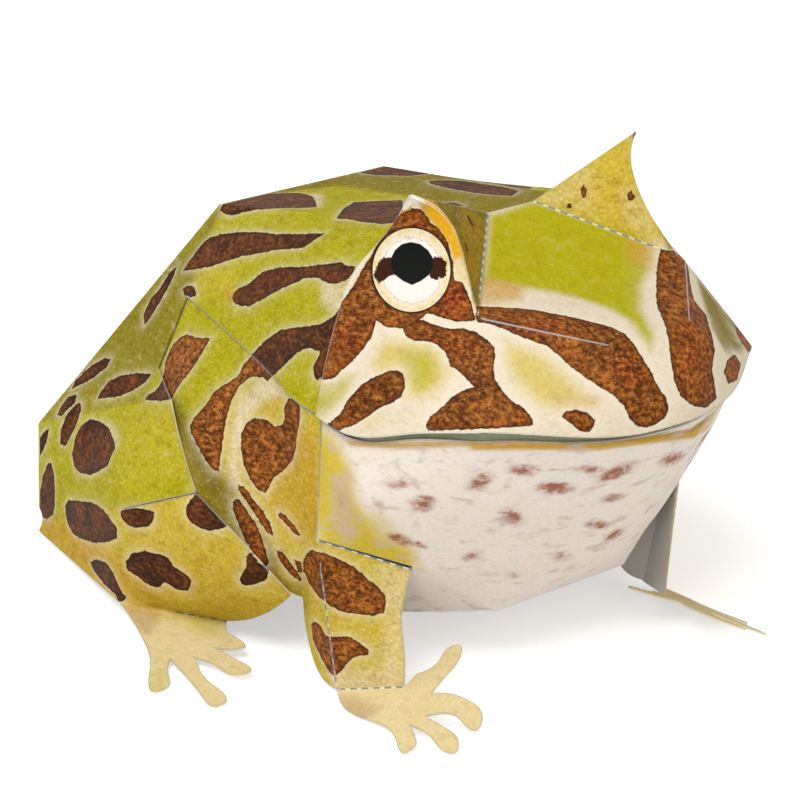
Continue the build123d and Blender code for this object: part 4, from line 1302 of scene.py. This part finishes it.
def flank_panels(shift):
    """A right flank's panels with the front leg; shift moves the foot."""
    outer, inner, low = (moved(point, shift) for point in (foot_outer, foot_inner, toe_low))
    back_rim = [moved(point, shift, share) for point, share in zip(leg_back_rim, (0.4, 0.8))]
    front_rim = [moved(point, shift, share) for point, share in zip(leg_front_rim, (0.2, 0.45, 0.75))]
    if shift[0]:
        front_rim = [(-26.3, -29.7, 18.1), (-24.8, -30.7, 13.8), (-22.8, -32.1, 8.6)]
        back_rim = [(-29.4, -13.2, 5.4), (-25.6, -18.8, 1.5)]
    core = (-26.0, -12.0, 14.0)
    fold = [leg_rear, *flank_fold, flank_rear]
    top = [tuck(point) for point in (rump_side, *seam, seam_end)]
    low_corner = tuck(rump_low)
    bulge = [leg_outer, *flank_bulge, low_corner]
    return [
        panel("near straw", top, [top[-1], leg_outer], bulge, [low_corner, top[0]]),
        panel("near straw", bulge, [low_corner, flank_rear], fold[::-1], [leg_rear, leg_outer]),
        panel("near straw", fold[::-1], [leg_rear, tuck_front], [tuck_front, tuck_rear],
              [tuck_rear, flank_rear]),
        panel("near straw", [outer, leg_outer], [leg_outer, leg_rear], [leg_rear, *back_rim, outer],
              inside=core),
        panel("near straw", [leg_outer, outer], [outer, inner], [inner, *reversed(front_rim), leg_inner],
              [leg_inner, leg_outer], inside=core),
        foot("near tan", outer, inner, low, front_toes)]


class FROG_OT_head(bpy.types.Operator):
    """Makes the head sheet: forehead, brows, eye cheeks and snout in one piece"""
    bl_idname = "frog.head"
    bl_label = "Head"

    def execute(self, context):
        soft, folds, cuts = [], [], []
        for sign, side in ((tuple, 2), (flip, 6)):
            soft += on_side(sign, [brow_front, lip_side], [brow_front, cheek_back])
            folds += on_side(sign, [brow_back, brow_front])
            cuts.append(([sign(brow_front), sign(slit_end)], side, (0.02, 0.97)))
        head = sheet_of_card("frog_head", "head", head_panels(), context.scene.frog_sizes.head_grid,
                             soft=soft, cuts=cuts, folds=folds, rounds=60, reach=5.0)
        settle(head, "head_sheet")
        return {"FINISHED"}


class FROG_OT_back(bpy.types.Operator):
    """Makes the back sheet: back, rump, thighs, shanks and hind feet in one piece"""
    bl_idname = "frog.back"
    bl_label = "Back"

    def execute(self, context):
        soft, folds, cuts, unlined = [], [], [], []
        for sign, shift, side in ((tuple, AT_HOME, 5), (flip, left_ankle_shift, len(haunch(AT_HOME)) + 5)):
            rear, fore = moved(ankle_back, shift), moved(ankle_front, shift)
            soft += on_side(sign, shank_bend(shift), [hip, thigh_bulge, knee_slit], [rear, knee_slit],
                            [knee_slit, heel_back])
            folds += on_side(sign, [rear, fore])
            cuts.append(([sign(knee), sign(knee_slit)], side, (0.0, 0.97)))
            unlined += on_side(sign, [rump_side, rump_low])
        back = sheet_of_card("frog_back", "back", back_panels(), context.scene.frog_sizes.back_grid,
                             soft=soft, cuts=cuts, folds=folds, rounds=40, reach=4.0, unlined=unlined)
        settle(back, "back_sheet")
        return {"FINISHED"}


class FROG_OT_chin(bpy.types.Operator):
    """Makes the chin sheet: chin, throat and belly in one piece"""
    bl_idname = "frog.chin"
    bl_label = "Chin"

    def execute(self, context):
        soft, hard = [], [[chin_keel, flip(chin_keel)]]
        for sign in (tuple, flip):
            soft += on_side(sign, chin_waist, chin_front, throat, [chin_inner, chin_waist[-1]],
                            [chin_front[-1], throat[-1]], [throat[-1], chin_keel])
            hard += on_side(sign, [chin_inner, chin_keel])
        chin = sheet_of_card("frog_chin", "chin", chin_panels(), context.scene.frog_sizes.chin_grid,
                             soft=soft, hard=hard, rounds=30, reach=4.5)
        settle(chin, "chin_sheet")
        return {"FINISHED"}


class FROG_OT_flanks(bpy.types.Operator):
    """Makes the two flanks with their front legs"""
    bl_idname = "frog.flanks"
    bl_label = "Flanks"

    def execute(self, context):
        for name, sign, shift in (("right", tuple, AT_HOME), ("left", flip, left_foot_shift)):
            panels = flank_panels(shift) if name == "right" else mirror(flank_panels(shift))
            outer, inner = moved(foot_outer, shift), moved(foot_inner, shift)
            soft = on_side(sign, [leg_outer, *flank_bulge, tuck(rump_low)], [leg_outer, leg_rear])
            folds = on_side(sign, [leg_outer, leg_inner], [leg_outer, outer], [outer, inner])
            flank = sheet_of_card(f"frog_flank_{name}", "flank", panels,
                                  context.scene.frog_sizes.flank_grid, soft=soft, folds=folds,
                                  rounds=14, reach=3.5)
            settle(flank, f"flank_{name}")
        return {"FINISHED"}


class FROG_OT_stage(bpy.types.Operator):
    """Sets the camera, a pale floor and soft studio light"""
    bl_idname = "frog.stage"
    bl_label = "Stage"

    def execute(self, context):
        scene = context.scene
        scene.view_settings.view_transform = "Standard"
        camera = bpy.data.objects.new("camera", bpy.data.cameras.new("camera"))
        camera.data.lens = 117.0
        camera.data.sensor_width = 36.0
        camera.data.clip_start = 0.05
        scene.collection.objects.link(camera)
        camera.location = (EYE_POINT + SHIFT) / 1000
        camera.rotation_euler = Vector(BACKWARD.tolist()).to_track_quat("Z", "Y").to_euler()
        scene.camera = camera

        world = bpy.data.worlds.new("studio")
        world.use_nodes = True
        tree = world.node_tree
        shade = tree.nodes["Background"]
        shade.inputs["Color"].default_value = (1.0, 0.99, 0.97, 1)
        shade.inputs["Strength"].default_value = 0.46
        white = tree.nodes.new("ShaderNodeBackground")
        white.inputs["Color"].default_value = (1, 1, 1, 1)
        white.inputs["Strength"].default_value = 1.0
        path = tree.nodes.new("ShaderNodeLightPath").outputs
        rays = path["Is Camera Ray"]
        for other in ("Is Transmission Ray", "Is Glossy Ray"):
            either = tree.nodes.new("ShaderNodeMath")
            either.operation = "MAXIMUM"
            tree.links.new(rays, either.inputs[0])
            tree.links.new(path[other], either.inputs[1])
            rays = either.outputs[0]
        pick = tree.nodes.new("ShaderNodeMixShader")
        for number, output in enumerate((rays, shade.outputs[0], white.outputs[0])):
            tree.links.new(output, pick.inputs[number])
        tree.links.new(pick.outputs[0], tree.nodes["World Output"].inputs["Surface"])
        scene.world = world

        for name, place, size, power in (("key", (-0.45, -0.25, 0.75), 0.5, 5.1),
                                         ("fill", (0.1, -0.8, 0.4), 0.7, 1.3),
                                         ("rim", (-0.5, 0.6, 0.35), 0.5, 1.0)):
            lamp = bpy.data.objects.new(name, bpy.data.lights.new(name, "AREA"))
            lamp.data.shape = "DISK"
            lamp.data.size = size
            lamp.data.energy = power
            lamp.location = place
            lamp.rotation_euler = (Vector(place) - AIM).to_track_quat("Z", "Y").to_euler()
            scene.collection.objects.link(lamp)

        mesh = bpy.data.meshes.new("floor")
        mesh.from_pydata([(-3, -3, 0), (3, -3, 0), (3, 3, 0), (-3, 3, 0)], [], [(0, 1, 2, 3)])
        floor = bpy.data.objects.new("floor", mesh)
        scene.collection.objects.link(floor)
        nodes = Nodes("pale_floor")
        nodes.shader.inputs["Base Color"].default_value = (0.9, 0.89, 0.87, 1)
        nodes.shader.inputs["Roughness"].default_value = 0.8
        nodes.shader.inputs["Specular IOR Level"].default_value = 0.1
        nodes.shader.inputs["Emission Color"].default_value = (1, 1, 1, 1)
        ray = nodes.tree.nodes.new("ShaderNodeLightPath").outputs
        clear = nodes.math("MAXIMUM", ray["Is Camera Ray"], ray["Is Glossy Ray"])
        clear = nodes.math("MAXIMUM", clear, ray["Is Transmission Ray"])
        nodes.put(nodes.math("MULTIPLY", clear, 0.48), nodes.shader.inputs["Emission Strength"])
        mesh.materials.append(nodes.material)
        return {"FINISHED"}


class FROG_PT_panel(bpy.types.Panel):
    """Sizes, colours and steps of the card frog"""
    bl_idname = "FROG_PT_panel"
    bl_label = "Card frog"
    bl_space_type = "VIEW_3D"
    bl_region_type = "UI"
    bl_category = "Frog"

    def draw(self, context):
        for group in (context.scene.frog_sizes, context.scene.frog_colours):
            box = self.layout.box()
            for name in type(group).__annotations__:
                box.prop(group, name)
        for step in STEPS:
            self.layout.operator(step.bl_idname)


STEPS = (FROG_OT_stage, FROG_OT_head, FROG_OT_back, FROG_OT_chin, FROG_OT_flanks)
CLASSES = (FrogSizes, FrogColours, *STEPS, FROG_PT_panel)


def register():
    for made in CLASSES:
        bpy.utils.register_class(made)
    bpy.types.Scene.frog_sizes = bpy.props.PointerProperty(type=FrogSizes)
    bpy.types.Scene.frog_colours = bpy.props.PointerProperty(type=FrogColours)


def unregister():
    del bpy.types.Scene.frog_colours
    del bpy.types.Scene.frog_sizes
    for made in reversed(CLASSES):
        bpy.utils.unregister_class(made)


def corners(bounds):
    """The box as plain lists of numbers."""
    return [[float(place) for place in corner] for corner in bounds]


def main():
    register()
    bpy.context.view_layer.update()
    bpy.ops.frog.stage()
    bpy.ops.frog.head()
    bpy.ops.frog.back()
    bpy.ops.frog.chin()
    bpy.ops.frog.flanks()


if __name__ == "__main__":
    main()
